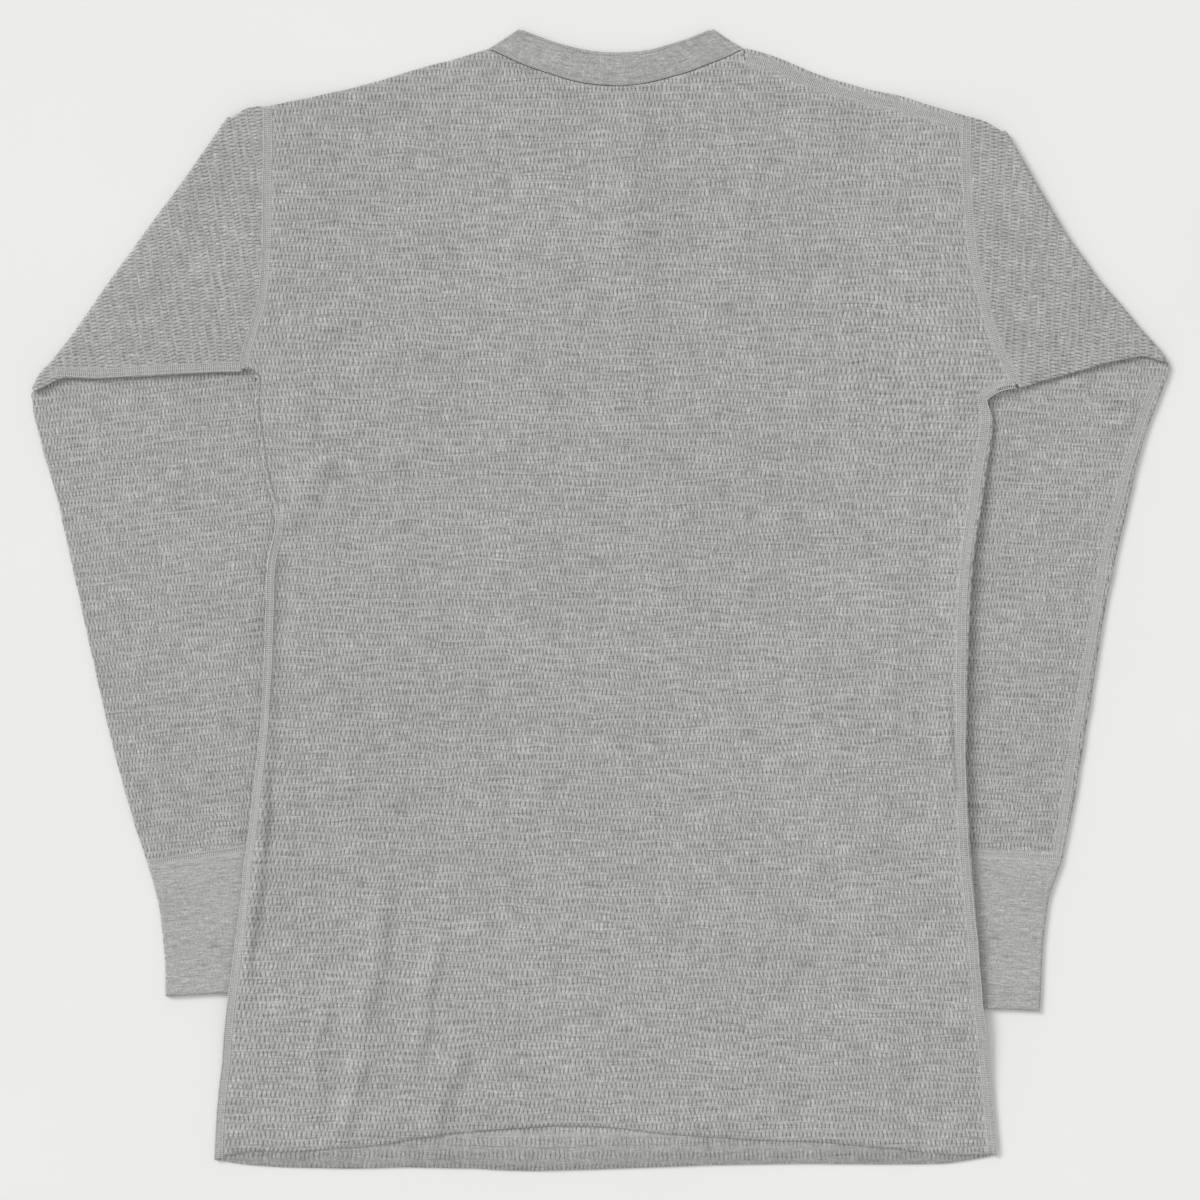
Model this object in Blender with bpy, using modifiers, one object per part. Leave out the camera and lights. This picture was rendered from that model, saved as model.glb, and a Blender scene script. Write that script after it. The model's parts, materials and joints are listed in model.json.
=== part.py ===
"""A long-sleeved thermal top, laid face down with both sleeves folded under it.

Blender 4.5. Metres, +Z up. The neck is towards +Y, and the wearer's left sleeve is at -X.
Every piece of cloth starts as the open surface in the middle of its wall, and Solidify gives
it its thickness. The tables are in millimetres, from the middle of the chest.
"""

import math

import bpy
import numpy as np

MM = 0.001

# Cloth, in millimetres
WALL = 1.4
GAP = 0.3
SEAM_GAP = 0.36  # across a slanting seam, such as an armhole
CUFF_GAP = 0.43  # across a cuff seam, where the sleeve's walls lean towards the cuff's
PITCH = WALL + GAP  # from one wall's middle to the next one's
ROLL = PITCH / 2  # radius of a wall's middle where one layer folds over to the next
EDGE = ROLL + WALL / 2  # from that fold's axis to its outermost point
TUBE = 2 * WALL + GAP  # a flattened sleeve
LIFT = TUBE + GAP  # how far a forearm raises what lies on it
TURN = LIFT / 2  # radius of a sleeve's middle where it folds under
LOW = WALL / 2  # height of the front panel's middle
HIGH = LOW + PITCH  # height of the back panel's middle
CORNER = 0.5  # clearance where a rolled shoulder meets the rolled neckband

# How the body comes down beside a forearm and past its cuff
DRAPE = 36.0
SHELF_LEAST = 2.0
CUFF_CLEAR = 4.0

# Outer edges of the body, from the hem up to the notch under each sleeve.
# y, x, and the width from the edge in to the side seam, which lies on the back
LEFT_SIDE = (
    (-364.0, -252.4, 3.0),
    (-331.5, -250.6, 3.0),
    (-299.0, -247.3, 3.0),
    (-256.0, -242.8, 3.0),
    (-211.0, -236.9, 3.0),
    (-156.0, -230.4, 3.0),
    (-108.0, -224.6, 3.0),
    (-65.0, -220.7, 3.0),
    (-19.5, -218.7, 3.0),
    (23.0, -217.4, 3.2),
    (57.0, -212.2, 3.2),
    (79.0, -218.7, 3.0),
    (114.0, -223.9, 3.0),
    (128.0, -225.9, 3.0),
    (143.5, -224.3, 3.0),
)
RIGHT_SIDE = (
    (-360.5, 257.7, 3.0),
    (-331.5, 255.1, 3.0),
    (-299.0, 251.9, 3.0),
    (-263.0, 248.0, 3.2),
    (-221.0, 244.7, 3.6),
    (-168.0, 240.2, 4.4),
    (-108.0, 236.9, 3.6),
    (-65.0, 237.6, 4.4),
    (-19.5, 238.9, 5.4),
    (29.0, 242.1, 5.6),
    (66.0, 248.0, 6.0),
    (89.0, 251.2, 6.0),
    (114.0, 254.5, 5.0),
    (122.0, 253.8, 4.0),
    (130.0, 249.9, 3.0),
)
# Rows of the body's mesh below the arms, as shares of the way from hem to notch
SIDE_ROWS = (
    0.0, 0.06, 0.11, 0.135, 0.155, 0.175, 0.195, 0.22, 0.27, 0.34, 0.41, 0.48, 0.55,
    0.62, 0.69, 0.74, 0.775, 0.8, 0.825, 0.85, 0.88, 0.92, 0.955, 0.98, 1.0,
)

# Armhole seams, from the underarm up to the shoulder: x, y
LEFT_ARMHOLE = (
    (-233.0, 147.8), (-230.4, 161.2), (-225.9, 176.2), (-220.7, 194.3),
    (-218.1, 219.7), (-217.4, 261.3), (-216.8, 291.2), (-216.8, 321.1),
)
RIGHT_ARMHOLE = (
    (271.4, 137.4), (263.6, 152.1), (252.5, 179.4), (246.7, 201.5),
    (241.5, 224.2), (238.2, 261.3), (236.9, 286.0), (236.9, 314.6),
)

# Folded edges of the shoulders, from the armhole to the neck on the left
# and from the neck to the armhole on the right: x, y
LEFT_SHOULDER = (
    (-216.8, 321.1), (-177.8, 329.6), (-136.8, 340.6), (-110.8, 348.4),
    (-92.0, 353.2), (-73.8, 358.8),
)
RIGHT_SHOULDER = (
    (92.6, 359.4), (117.3, 352.3), (135.5, 344.5), (160.2, 336.1),
    (192.7, 328.2), (220.0, 319.8), (236.9, 314.6),
)
SHOULDER_WRAP = 7.0
UNDERARM_ROUND = (0.4, 0.75)  # where the notch's curve passes, as shares across and up

# Hems: x, y
BACK_HEM = (
    (-253.0, -364.0), (-233.0, -360.0), (-185.0, -358.2), (-143.0, -354.2),
    (-100.0, -347.4), (-54.0, -343.9), (-8.0, -342.2), (31.0, -346.0),
    (91.0, -351.0), (141.0, -352.8), (191.0, -357.5), (234.0, -361.2), (258.5, -360.5),
)
FRONT_HEM = (
    (-253.0, -364.5), (-234.0, -367.2), (-180.0, -370.0), (-117.0, -369.6),
    (-38.0, -371.6), (25.0, -369.9), (91.0, -367.4), (157.0, -367.2),
    (237.0, -365.0), (258.5, -361.0),
)

# Neckband: the seam edge and the free edge of its back half, and of its front half
NECK_MIDDLE = 9.4
SEAM_HALF_WIDTH, SEAM_TOP, SEAM_BACK_DROP, SEAM_FRONT_DROP = 83.2, 358.8, 24.0, 88.4
FREE_HALF_WIDTH, FREE_TOP, FREE_BACK_DROP, FREE_FRONT_DROP = 63.0, 371.8, 15.6, 78.0
NECK_STEPS = 6  # on each side of the middle

# Columns of the body's mesh
LEFT_SHOULDER_COLUMNS = 7
RIGHT_SHOULDER_COLUMNS = 4
DRAPE_COLUMNS = (0.0, 0.2, 0.4, 0.6, 0.8, 1.0)

# Largest folds of the back, each a soft ridge: middle x, y, half length, half width,
# height, and heading from +X in degrees
FOLDS = (
    (-193.0, 70.0, 34.0, 11.0, 2.4, 58.0),
    (-147.0, -222.0, 46.0, 10.0, 1.6, 88.0),
    (-109.0, -262.0, 36.0, 10.0, 1.5, 92.0),
    (-121.0, -333.0, 22.0, 11.0, 1.2, 95.0),
)

# Sleeves. Each table of points runs along one edge of the flattened sleeve: x, y
SLEEVES = {
    "left": {
        "armhole": LEFT_ARMHOLE,
        "over": ((-216.8, 321.1), (-231.0, 319.0)),
        "fold": ((-242.8, 315.2), (-258.4, 292.5), (-310.0, 221.5), (-369.5, 139.1)),
        "under": ((-233.0, 147.8), (-265.0, 146.9), (-290.0, 145.6), (-328.0, 143.7),
                  (-352.0, 142.9)),
        "outer": ((-370.4, 128.0), (-366.9, 110.5), (-355.9, 71.5), (-338.3, -6.5),
                  (-320.8, -84.5), (-307.1, -136.5)),
        "inner": ((-190.0, -92.0), (-186.0, -128.0)),
        "join": ((-185.0, -155.5), (-295.6, -171.6)),
        "cuff_inner": ((-186.5, -172.0), (-195.0, -208.0)),
        "cuff_outer": ((-288.9, -195.7), (-285.0, -224.2)),
        "cuff_end": ((-198.6, -253.5), (-283.7, -258.1)),
    },
    "right": {
        "armhole": RIGHT_ARMHOLE,
        "over": ((236.9, 314.6), (250.0, 310.4)),
        "fold": ((262.9, 306.2), (276.6, 282.1), (294.1, 252.2), (309.7, 227.5),
                 (330.5, 200.8), (350.0, 178.1), (369.5, 155.3)),
        "under": ((271.4, 137.4), (291.0, 143.2), (312.3, 148.8), (339.0, 156.0),
                  (355.0, 158.0)),
        "outer": ((368.6, 146.0), (364.3, 134.6), (352.0, 101.4), (346.1, 76.7),
                  (335.7, 31.2), (327.9, -6.5), (319.5, -58.5), (309.1, -122.9)),
        "inner": ((197.5, -100.0), (192.5, -134.0)),
        "join": ((191.0, -162.5), (300.2, -168.4)),
        "cuff_inner": ((192.5, -180.0), (199.5, -218.0)),
        "cuff_outer": ((292.8, -189.2), (288.3, -215.8)),
        "cuff_end": ((201.8, -264.6), (285.7, -267.8)),
    },
}
UPPER_ROWS = (0.0, 0.2, 0.4, 0.6, 0.8, 1.0)
FOREARM_ROWS = (0.0, 0.03, 0.08, 0.16, 0.27, 0.39, 0.52, 0.65, 0.77, 0.89, 1.0)
CUFF_ROWS = (0.0, 0.25, 0.6, 1.0)

# Where the body starts to come down beside a forearm, read from y: x
LEFT_SHELF = (
    (-253.5, -192.7), (-185.2, -188.8), (-162.5, -178.4), (-143.0, -178.4),
    (-65.0, -188.2), (65.0, -205.1), (148.8, -213.5), (216.5, -214.0), (318.5, -213.0),
)
RIGHT_SHELF = (
    (-266.5, 196.6), (-188.5, 192.7), (-169.0, 184.3), (-143.0, 184.9),
    (-65.0, 198.6), (65.0, 219.4), (143.0, 232.4), (175.5, 236.6),
    (224.2, 234.9), (318.5, 233.0),
)

SHOULDER_FADE = 5.0  # how fast the shoulders' and the neck's curves die out down the body
HEM_FADE = 20.0  # how fast the hem's curve dies out up the body
QUARTER_TURN = math.pi / 2
FOLD_SEGMENTS = 4  # in the half turn of a rolled edge
BEND_SEGMENTS = 6  # in the half turn of a folded sleeve


def smoothstep(share):
    share = np.clip(share, 0.0, 1.0)
    return share * share * (3.0 - 2.0 * share)


def smooth_value(table, at, column=1):
    """Reads one column of a table by its first one, on a curve that bends softly at each row."""
    rows = np.array(table, float)
    keys, values = rows[:, 0], rows[:, column]
    slopes = np.gradient(values, keys)
    at = float(np.clip(at, keys[0], keys[-1]))
    i = min(max(int(np.searchsorted(keys, at)) - 1, 0), len(keys) - 2)
    span = keys[i + 1] - keys[i]
    t = (at - keys[i]) / span
    return (
        (2 * t**3 - 3 * t**2 + 1) * values[i]
        + (t**3 - 2 * t**2 + t) * span * slopes[i]
        + (3 * t**2 - 2 * t**3) * values[i + 1]
        + (t**3 - t**2) * span * slopes[i + 1]
    )


def along(points, share):
    """The point this share of the way along a chain of points, by its length."""
    points = np.array(points, float)
    steps = np.linalg.norm(np.diff(points, axis=0), axis=1)
    lengths = np.concatenate([[0.0], np.cumsum(steps)])
    wanted = share * lengths[-1]
    return np.array([np.interp(wanted, lengths, points[:, k]) for k in range(2)])


def unit(vector):
    vector = np.array(vector, float)
    return vector / np.linalg.norm(vector)


def lift(x, y):
    """How far the body is raised at a place by the forearm under it."""
    raised = 0.0
    for shelf, toward_middle, sleeve in (
        (LEFT_SHELF, 1.0, SLEEVES["left"]),
        (RIGHT_SHELF, -1.0, SLEEVES["right"]),
    ):
        beside = toward_middle * (x - smooth_value(shelf, y)) / DRAPE
        cuff_end = min(point[1] for point in sleeve["cuff_end"]) - CUFF_CLEAR
        past = (cuff_end - y) / DRAPE
        raised += (1.0 - smoothstep(beside)) * (1.0 - smoothstep(past))
    return LIFT * raised


def fold_height(x, y):
    height = 0.0
    for middle_x, middle_y, half_length, half_width, crest, heading in FOLDS:
        turn = math.radians(heading)
        run = (x - middle_x) * math.cos(turn) + (y - middle_y) * math.sin(turn)
        across = (y - middle_y) * math.cos(turn) - (x - middle_x) * math.sin(turn)
        height += crest * math.exp(-((run / half_length) ** 2) - (across / half_width) ** 2)
    return height


class Cloth:
    """Gathers the surface in the middle of one piece's wall, row by row."""

    def __init__(self):
        self.points = []
        self.faces = []

    def add_row(self, points):
        first = len(self.points)
        self.points += [tuple(map(float, point)) for point in points]
        return list(range(first, len(self.points)))

    def join_rows(self, first, second, closed=False):
        for i in range(len(first) if closed else len(first) - 1):
            j = (i + 1) % len(first)
            self.faces.append((first[i], first[j], second[j], second[i]))

    def add_rows(self, rows, closed=False):
        made = [self.add_row(row) for row in rows]
        for first, second in zip(made, made[1:]):
            self.join_rows(first, second, closed)
        return made

    def roll_over(self, edge, outward, ends, upwards):
        """Rolls an edge of the cloth over to the layer above or below and on to its ends."""
        start = [np.array(self.points[i]) for i in edge]
        rise = ROLL if upwards else -ROLL
        rows = [edge]
        for step in range(1, FOLD_SEGMENTS + 1):
            turn = math.pi * step / FOLD_SEGMENTS
            shifts = [
                np.array([*(ROLL * math.sin(turn) * way), rise * (1.0 - math.cos(turn))])
                for way in outward
            ]
            rows.append(self.add_row([p + s for p, s in zip(start, shifts)]))
        last = [(x, y, p[2] + 2 * rise) for (x, y), p in zip(ends, start)]
        rows.append(self.add_row(last))
        for first, second in zip(rows, rows[1:]):
            self.join_rows(first, second)


def cloth_material(name, colour, roughness):
    material = bpy.data.materials.new(name)
    material.use_nodes = True
    shader = material.node_tree.nodes["Principled BSDF"]
    shader.inputs["Base Color"].default_value = (*colour, 1.0)
    shader.inputs["Roughness"].default_value = roughness
    shader.inputs["Metallic"].default_value = 0.0
    return material


def cloth_object(name, cloth, material, holder, collection):
    mesh = bpy.data.meshes.new(name)
    points = [(x * MM, y * MM, z * MM) for x, y, z in cloth.points]
    mesh.from_pydata(points, [], cloth.faces)
    mesh.materials.append(material)
    piece = bpy.data.objects.new(name, mesh)
    collection.objects.link(piece)
    bpy.context.view_layer.objects.active = piece
    bpy.ops.object.mode_set(mode="EDIT")
    bpy.ops.mesh.select_all(action="SELECT")
    bpy.ops.mesh.normals_make_consistent(inside=False)
    bpy.ops.object.mode_set(mode="OBJECT")
    mesh.shade_smooth()
    wall = piece.modifiers.new("wall", "SOLIDIFY")
    wall.thickness = WALL * MM
    wall.offset = 0.0
    wall.use_even_offset = True
    wall.use_quality_normals = True
    piece.parent = holder
    return piece


# The body


def shoulder_y(x):
    """Height of the folded shoulder edge at x, carried on straight past its ends."""
    table = LEFT_SHOULDER if x < NECK_MIDDLE else RIGHT_SHOULDER
    first, last = table[0], table[-1]
    if first[0] <= x <= last[0]:
        return smooth_value(table, x)
    near, inner = (first, table[1]) if x < first[0] else (last, table[-2])
    slope = (near[1] - inner[1]) / (near[0] - inner[0])
    return near[1] + slope * (x - near[0])


def neck_share(x):
    return (x - NECK_MIDDLE) / SEAM_HALF_WIDTH


def back_top(x):
    left = x < NECK_MIDDLE
    top = shoulder_y(x) - (EDGE if left else SHOULDER_WRAP + GAP)
    share = neck_share(x)
    if abs(share) >= 1.0:
        return top
    seam = SEAM_TOP - SEAM_BACK_DROP * math.cos(QUARTER_TURN * share) - SEAM_GAP
    return min(top, seam) if not left else seam


def front_top(x):
    left = x < NECK_MIDDLE
    share = (x - NECK_MIDDLE) / (SEAM_HALF_WIDTH + SEAM_GAP)
    if abs(share) < 1.0:
        return SEAM_TOP - (SEAM_FRONT_DROP + SEAM_GAP) * math.sqrt(1.0 - share**2)
    return shoulder_y(x) - (SHOULDER_WRAP + GAP if left else EDGE)


def outward_ways(points, side):
    """The way out of the body at each point of a side, square to the edge there."""
    ways = []
    for i in range(len(points)):
        before, after = points[max(i - 1, 0)], points[min(i + 1, len(points) - 1)]
        run = unit(np.subtract(after, before))
        ways.append(side * np.array([run[1], -run[0]]))
    return ways


def body_side(side):
    """Edge points from the hem to the underarm, the way out at each, and the seam's width."""
    table = LEFT_SIDE if side < 0 else RIGHT_SIDE
    armhole = np.array(LEFT_ARMHOLE if side < 0 else RIGHT_ARMHOLE)
    hem, notch = table[0][0], table[-1][0]
    heights = [hem + share * (notch - hem) for share in SIDE_ROWS]
    points = [np.array([smooth_value(table, y), y]) for y in heights]
    seams = [smooth_value(table, y, 2) for y in heights]
    ways = outward_ways(points, side)
    ways[0] = np.array([side, 0.0])
    end_way = unit(armhole[0] - armhole[1])
    ways[-1] = unit(ways[-2] + end_way)
    points.append(np.array([
        np.interp(UNDERARM_ROUND[0], (0, 1), (points[-1][0], armhole[0][0])),
        np.interp(UNDERARM_ROUND[1], (0, 1), (points[-1][1], armhole[0][1])),
    ]))
    points.append(armhole[0])
    ways += [unit(ways[-1] + 2 * end_way), end_way]
    seams += [seams[-1], seams[-1]]
    return points, ways, seams


def body_sections(side, at_seam):
    """Where each row of a panel ends: at the rolled edge's axis, or at the side seam."""
    points, ways, seams = body_side(side)
    insets = [seam + GAP for seam in seams] if at_seam else [EDGE] * len(seams)
    ends = [p - way * inset for p, way, inset in zip(points, ways, insets)]
    armhole = LEFT_ARMHOLE if side < 0 else RIGHT_ARMHOLE
    ends[-1] = ends[-1] - np.array([side * SEAM_GAP, 0.0])
    return ends + [np.array([x - side * SEAM_GAP / 2, y]) for x, y in armhole[1:]]


def middle_shares(left, right):
    """The body's columns between its two drapes, as shares of the way across."""
    neck = [
        NECK_MIDDLE + SEAM_HALF_WIDTH * math.sin(QUARTER_TURN * k / NECK_STEPS)
        for k in range(-NECK_STEPS, NECK_STEPS + 1)
    ]
    neck[0] -= CORNER
    neck[-1] += CORNER
    corner = NECK_MIDDLE + SEAM_HALF_WIDTH - SHOULDER_WRAP
    spots = list(np.linspace(left, neck[0], LEFT_SHOULDER_COLUMNS + 1)[1:-1])
    spots += neck + [corner]
    spots += list(np.linspace(neck[-1], right, RIGHT_SHOULDER_COLUMNS + 1)[1:-1])
    return [(spot - left) / (right - left) for spot in sorted(spots)]


def across_shares(left_end, right_end, middles=None):
    """Shares of the way across one row, with the columns of the drapes where they lie."""
    width = right_end[0] - left_end[0]
    left = max(smooth_value(LEFT_SHELF, left_end[1]) - left_end[0], SHELF_LEAST)
    right = max(right_end[0] - smooth_value(RIGHT_SHELF, right_end[1]), SHELF_LEAST)
    near = [0.0, left / 2] + [left + DRAPE * share for share in DRAPE_COLUMNS]
    far = [0.0, right / 2] + [right + DRAPE * share for share in DRAPE_COLUMNS]
    start, stop = near[-1], width - far[-1]
    if middles is None:
        middles = middle_shares(left_end[0] + start, left_end[0] + stop)
    spots = near + [start + share * (stop - start) for share in middles]
    spots += [width - spot for spot in reversed(far)]
    return [spot / width for spot in spots], middles


def bends(shares, start, stop, curve):
    """How far a curve lies above the straight line between two points, at each column."""
    spots = [start + share * (stop - start) for share in shares]
    return [curve(x) - y for x, y in spots]


def body_rows(left_ends, right_ends, top, hem, height):
    """Rows of one panel, bent to its hem at one end and to its shoulders at the other."""
    for ends in (left_ends, right_ends):
        ends[-1] = np.array([ends[-1][0], top(ends[-1][0])])
        ends[0] = np.array([ends[0][0], smooth_value(hem, ends[0][0])])
    _, middles = across_shares(left_ends[-1], right_ends[-1])
    low = (left_ends[0][1] + right_ends[0][1]) / 2
    tall = (left_ends[-1][1] + right_ends[-1][1]) / 2 - low
    columns = [across_shares(a, b, middles)[0] for a, b in zip(left_ends, right_ends)]
    tops, hems = columns[-1], columns[0]
    top_bend = bends(tops, left_ends[-1], right_ends[-1], top)
    hem_bend = bends(hems, left_ends[0], right_ends[0], lambda x: smooth_value(hem, x))
    rows = []
    for shares, a, b in zip(columns, left_ends, right_ends):
        up = ((a[1] + b[1]) / 2 - low) / tall
        row = []
        for i, share in enumerate(shares):
            x, y = a + share * (b - a)
            y += up**SHOULDER_FADE * top_bend[i] + (1 - up) ** HEM_FADE * hem_bend[i]
            row.append((x, y, height(x, y)))
        rows.append(row)
    return rows


def roll_shoulder(cloth, top_row, chosen, upwards):
    """Rolls the columns of a shoulder over its folded edge, as far as the shoulder seam."""
    edge = [i for i in top_row if chosen(cloth.points[i][0])]
    spots = [cloth.points[i][0] for i in edge]
    if upwards:
        spots[0] = NECK_MIDDLE + SEAM_HALF_WIDTH - SHOULDER_WRAP + CORNER
    ends = [(x, shoulder_y(x) - SHOULDER_WRAP) for x in spots]
    cloth.roll_over(edge, [np.array([0.0, 1.0])] * len(edge), ends, upwards)


def back_panel():
    cloth = Cloth()
    left, right = body_sections(-1, True), body_sections(1, True)
    rows = cloth.add_rows(body_rows(
        left, right, back_top, BACK_HEM,
        lambda x, y: HIGH + lift(x, y) + fold_height(x, y),
    ))
    neck_corner = NECK_MIDDLE - SEAM_HALF_WIDTH
    roll_shoulder(cloth, rows[-1], lambda x: x < neck_corner, False)
    return cloth


def front_panel():
    cloth = Cloth()
    left, right = body_sections(-1, False), body_sections(1, False)
    rows = cloth.add_rows(body_rows(
        left, right, front_top, FRONT_HEM, lambda x, y: LOW + lift(x, y),
    ))
    for side, column in ((-1, 0), (1, -1)):
        points, ways, seams = body_side(side)
        seam_points = [p - way * seam for p, way, seam in zip(points, ways, seams)]
        seam_points[-1] = seam_points[-1] - np.array([side * SEAM_GAP, 0.0])
        edge = [row[column] for row in rows[: len(points)]]
        hem_y = cloth.points[edge[0]][1]
        seam_points[0] = np.array([seam_points[0][0], hem_y])
        cloth.roll_over(edge, ways, seam_points, True)
    neck_corner = NECK_MIDDLE + SEAM_HALF_WIDTH
    roll_shoulder(cloth, rows[-1], lambda x: x > neck_corner, True)
    return cloth


# The neckband


def band_edges(share, back):
    """The seam edge and the free edge of the band, at a share from -1 to 1 across the neck."""
    edges = []
    for half_width, top, back_drop, front_drop in (
        (SEAM_HALF_WIDTH, SEAM_TOP, SEAM_BACK_DROP, SEAM_FRONT_DROP),
        (FREE_HALF_WIDTH, FREE_TOP, FREE_BACK_DROP, FREE_FRONT_DROP),
    ):
        if back:
            drop = back_drop * math.cos(QUARTER_TURN * share)
        else:
            drop = front_drop * math.sqrt(max(1.0 - share**2, 0.0))
        edges.append(np.array([NECK_MIDDLE + half_width * share, top - drop]))
    return edges


def neckband():
    shares = [math.sin(QUARTER_TURN * k / NECK_STEPS) for k in range(-NECK_STEPS, NECK_STEPS + 1)]
    inner = shares[1:-1]
    sections = [[(*p, HIGH) for p in band_edges(share, True)] for share in inner]
    turns = [math.pi * k / FOLD_SEGMENTS for k in range(FOLD_SEGMENTS + 1)]

    def bend(share, angles):
        seam, free = band_edges(share, True)
        run = unit(free - seam)
        out = np.array([-run[1], run[0]]) if share < 0 else np.array([run[1], -run[0]])
        axis = [seam - EDGE * out, free - EDGE * out]
        height = (LOW + HIGH) / 2
        return [
            [(*(p + ROLL * math.sin(a) * out), height + ROLL * math.cos(a)) for p in axis]
            for a in angles
        ]

    sections += bend(1.0, turns)
    sections += [[(*p, LOW) for p in band_edges(share, False)] for share in reversed(inner)]
    sections += bend(-1.0, reversed(turns))
    cloth = Cloth()
    made = [cloth.add_row(section) for section in sections]
    for first, second in zip(made, made[1:] + made[:1]):
        cloth.join_rows(first, second)
    return cloth


# Sleeves and cuffs


def patch_row(start, stop, start_edge, stop_edge, share, stations):
    """One section of a flat patch, between the sections that it starts and stops with."""
    first, last = along(start_edge, share), along(stop_edge, share)
    row = []
    for i, station in enumerate(stations):
        blend = (1 - share) * start[i] + share * stop[i]
        ends = (1 - station) * first + station * last
        corners = (1 - share) * ((1 - station) * start[0] + station * start[-1])
        corners = corners + share * ((1 - station) * stop[0] + station * stop[-1])
        row.append(blend + ends - corners)
    return row


def ring(section, level, way=(0.0, 0.0), turn=0.0):
    """A flattened tube's section round a line of points: one wall, an edge, the other, an edge."""
    up = np.array([way[0] * math.sin(turn), way[1] * math.sin(turn), math.cos(turn)])
    line = [np.array([*point, level]) for point in section]
    outs = {}
    for end, near, far in (("first", 0, 1), ("last", -1, -2)):
        outs[end] = np.array([*unit(section[near] - section[far]), 0.0])
    arc = [math.pi * k / FOLD_SEGMENTS for k in range(1, FOLD_SEGMENTS)]
    points = [point + ROLL * up for point in line]
    points += [
        line[-1] + ROLL * (math.sin(a) * outs["last"] + math.cos(a) * up) for a in arc
    ]
    points += [point - ROLL * up for point in reversed(line)]
    points += [
        line[0] + ROLL * (math.sin(a) * outs["first"] - math.cos(a) * up) for a in arc
    ]
    return points


def inset_ends(section):
    """Draws a section's two ends in, from the sleeve's edges to the axes of their folds."""
    section = list(section)
    section[0] = section[0] + EDGE * unit(section[1] - section[0])
    section[-1] = section[-1] + EDGE * unit(section[-2] - section[-1])
    return section


def sleeve_lines(side):
    """The sections that a sleeve's patches run between, each from the overarm to the underarm."""
    sizes = SLEEVES[side]
    sign = -1.0 if side == "left" else 1.0
    armhole = [np.array([x + sign * SEAM_GAP / 2, y]) for x, y in reversed(sizes["armhole"])]
    steps = [np.linalg.norm(b - a) for a, b in zip(armhole, armhole[1:])]
    stations = np.concatenate([[0.0], np.cumsum(steps)]) / sum(steps)
    fold_ends = np.array([sizes["fold"][0], sizes["fold"][-1]])
    run = unit(fold_ends[1] - fold_ends[0])
    out = sign * np.array([-run[1], run[0]])
    fold = [along(sizes["fold"], s) - (TURN + TUBE / 2) * out for s in stations]
    join = [np.array(sizes["join"][0]) * (1 - s) + np.array(sizes["join"][1]) * s
            for s in stations]
    end = [np.array(sizes["cuff_end"][0]) * (1 - s) + np.array(sizes["cuff_end"][1]) * s
           for s in stations]
    return stations, armhole, fold, join, end, out


def sleeve(side):
    sizes = SLEEVES[side]
    stations, armhole, fold, join, _, out = sleeve_lines(side)
    shift = np.array([0.0, CUFF_GAP / 2])
    join = [point + shift for point in join]
    over = [armhole[0], *map(np.array, sizes["over"][1:]), fold[0]]
    under = [armhole[-1], *map(np.array, sizes["under"][1:]), fold[-1]]
    upper_level, fore_level = LIFT + TUBE / 2, TUBE / 2
    rings = []
    for share in UPPER_ROWS:
        row = patch_row(armhole, fold, over, under, share, stations)
        rings.append(ring(inset_ends(row), upper_level))
    turned = inset_ends(fold)
    for step in range(1, BEND_SEGMENTS):
        turn = math.pi * step / BEND_SEGMENTS
        moved = [point + TURN * math.sin(turn) * out for point in turned]
        rings.append(ring(moved, fore_level + TURN * (1 + math.cos(turn)), out, turn))
    inner = [fold[0], *map(np.array, sizes["inner"]), join[0]]
    outer = [fold[-1], *map(np.array, sizes["outer"]), join[-1]]
    for share in FOREARM_ROWS:
        row = patch_row(fold, join, inner, outer, share, stations)
        rings.append(ring(inset_ends(row), fore_level, turn=math.pi))
    cloth = Cloth()
    cloth.add_rows(rings, closed=True)
    return cloth


def cuff(side):
    sizes = SLEEVES[side]
    stations, _, _, join, end, _ = sleeve_lines(side)
    shift = np.array([0.0, -CUFF_GAP / 2])
    join = [point + shift for point in join]
    inner = [join[0], *map(np.array, sizes["cuff_inner"]), end[0]]
    outer = [join[-1], *map(np.array, sizes["cuff_outer"]), end[-1]]
    cloth = Cloth()
    cloth.add_rows(
        [
            ring(inset_ends(patch_row(join, end, inner, outer, share, stations)), TUBE / 2,
                 turn=math.pi)
            for share in CUFF_ROWS
        ],
        closed=True,
    )
    return cloth


def clear_scene():
    for found in list(bpy.data.objects):
        bpy.data.objects.remove(found, do_unlink=True)


def centre(holder, pieces):
    """Moves the whole so that the world's origin is under the middle of its box."""
    bpy.context.view_layer.update()
    graph = bpy.context.evaluated_depsgraph_get()
    corners = np.array(
        [corner for piece in pieces for corner in piece.evaluated_get(graph).bound_box]
    )
    middle = (corners.min(axis=0) + corners.max(axis=0)) / 2
    holder.location = (-middle[0], -middle[1], 0.0)


def main():
    clear_scene()
    collection = bpy.data.collections.new("thermal_top")
    bpy.context.scene.collection.children.link(collection)
    holder = bpy.data.objects.new("thermal_top_origin", None)
    collection.objects.link(holder)
    thermal = (0.36, 0.365, 0.35)
    jersey = (0.40, 0.405, 0.39)
    finishes = {
        "back_panel": (back_panel(), thermal),
        "front_panel": (front_panel(), thermal),
        "neckband": (neckband(), jersey),
    }
    for side in SLEEVES:
        finishes["sleeve_" + side] = (sleeve(side), thermal)
        finishes["cuff_" + side] = (cuff(side), jersey)
    pieces = [
        cloth_object(name, cloth, cloth_material(name, colour, 0.95), holder, collection)
        for name, (cloth, colour) in finishes.items()
    ]
    centre(holder, pieces)


main()
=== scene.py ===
import json
import math

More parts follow.
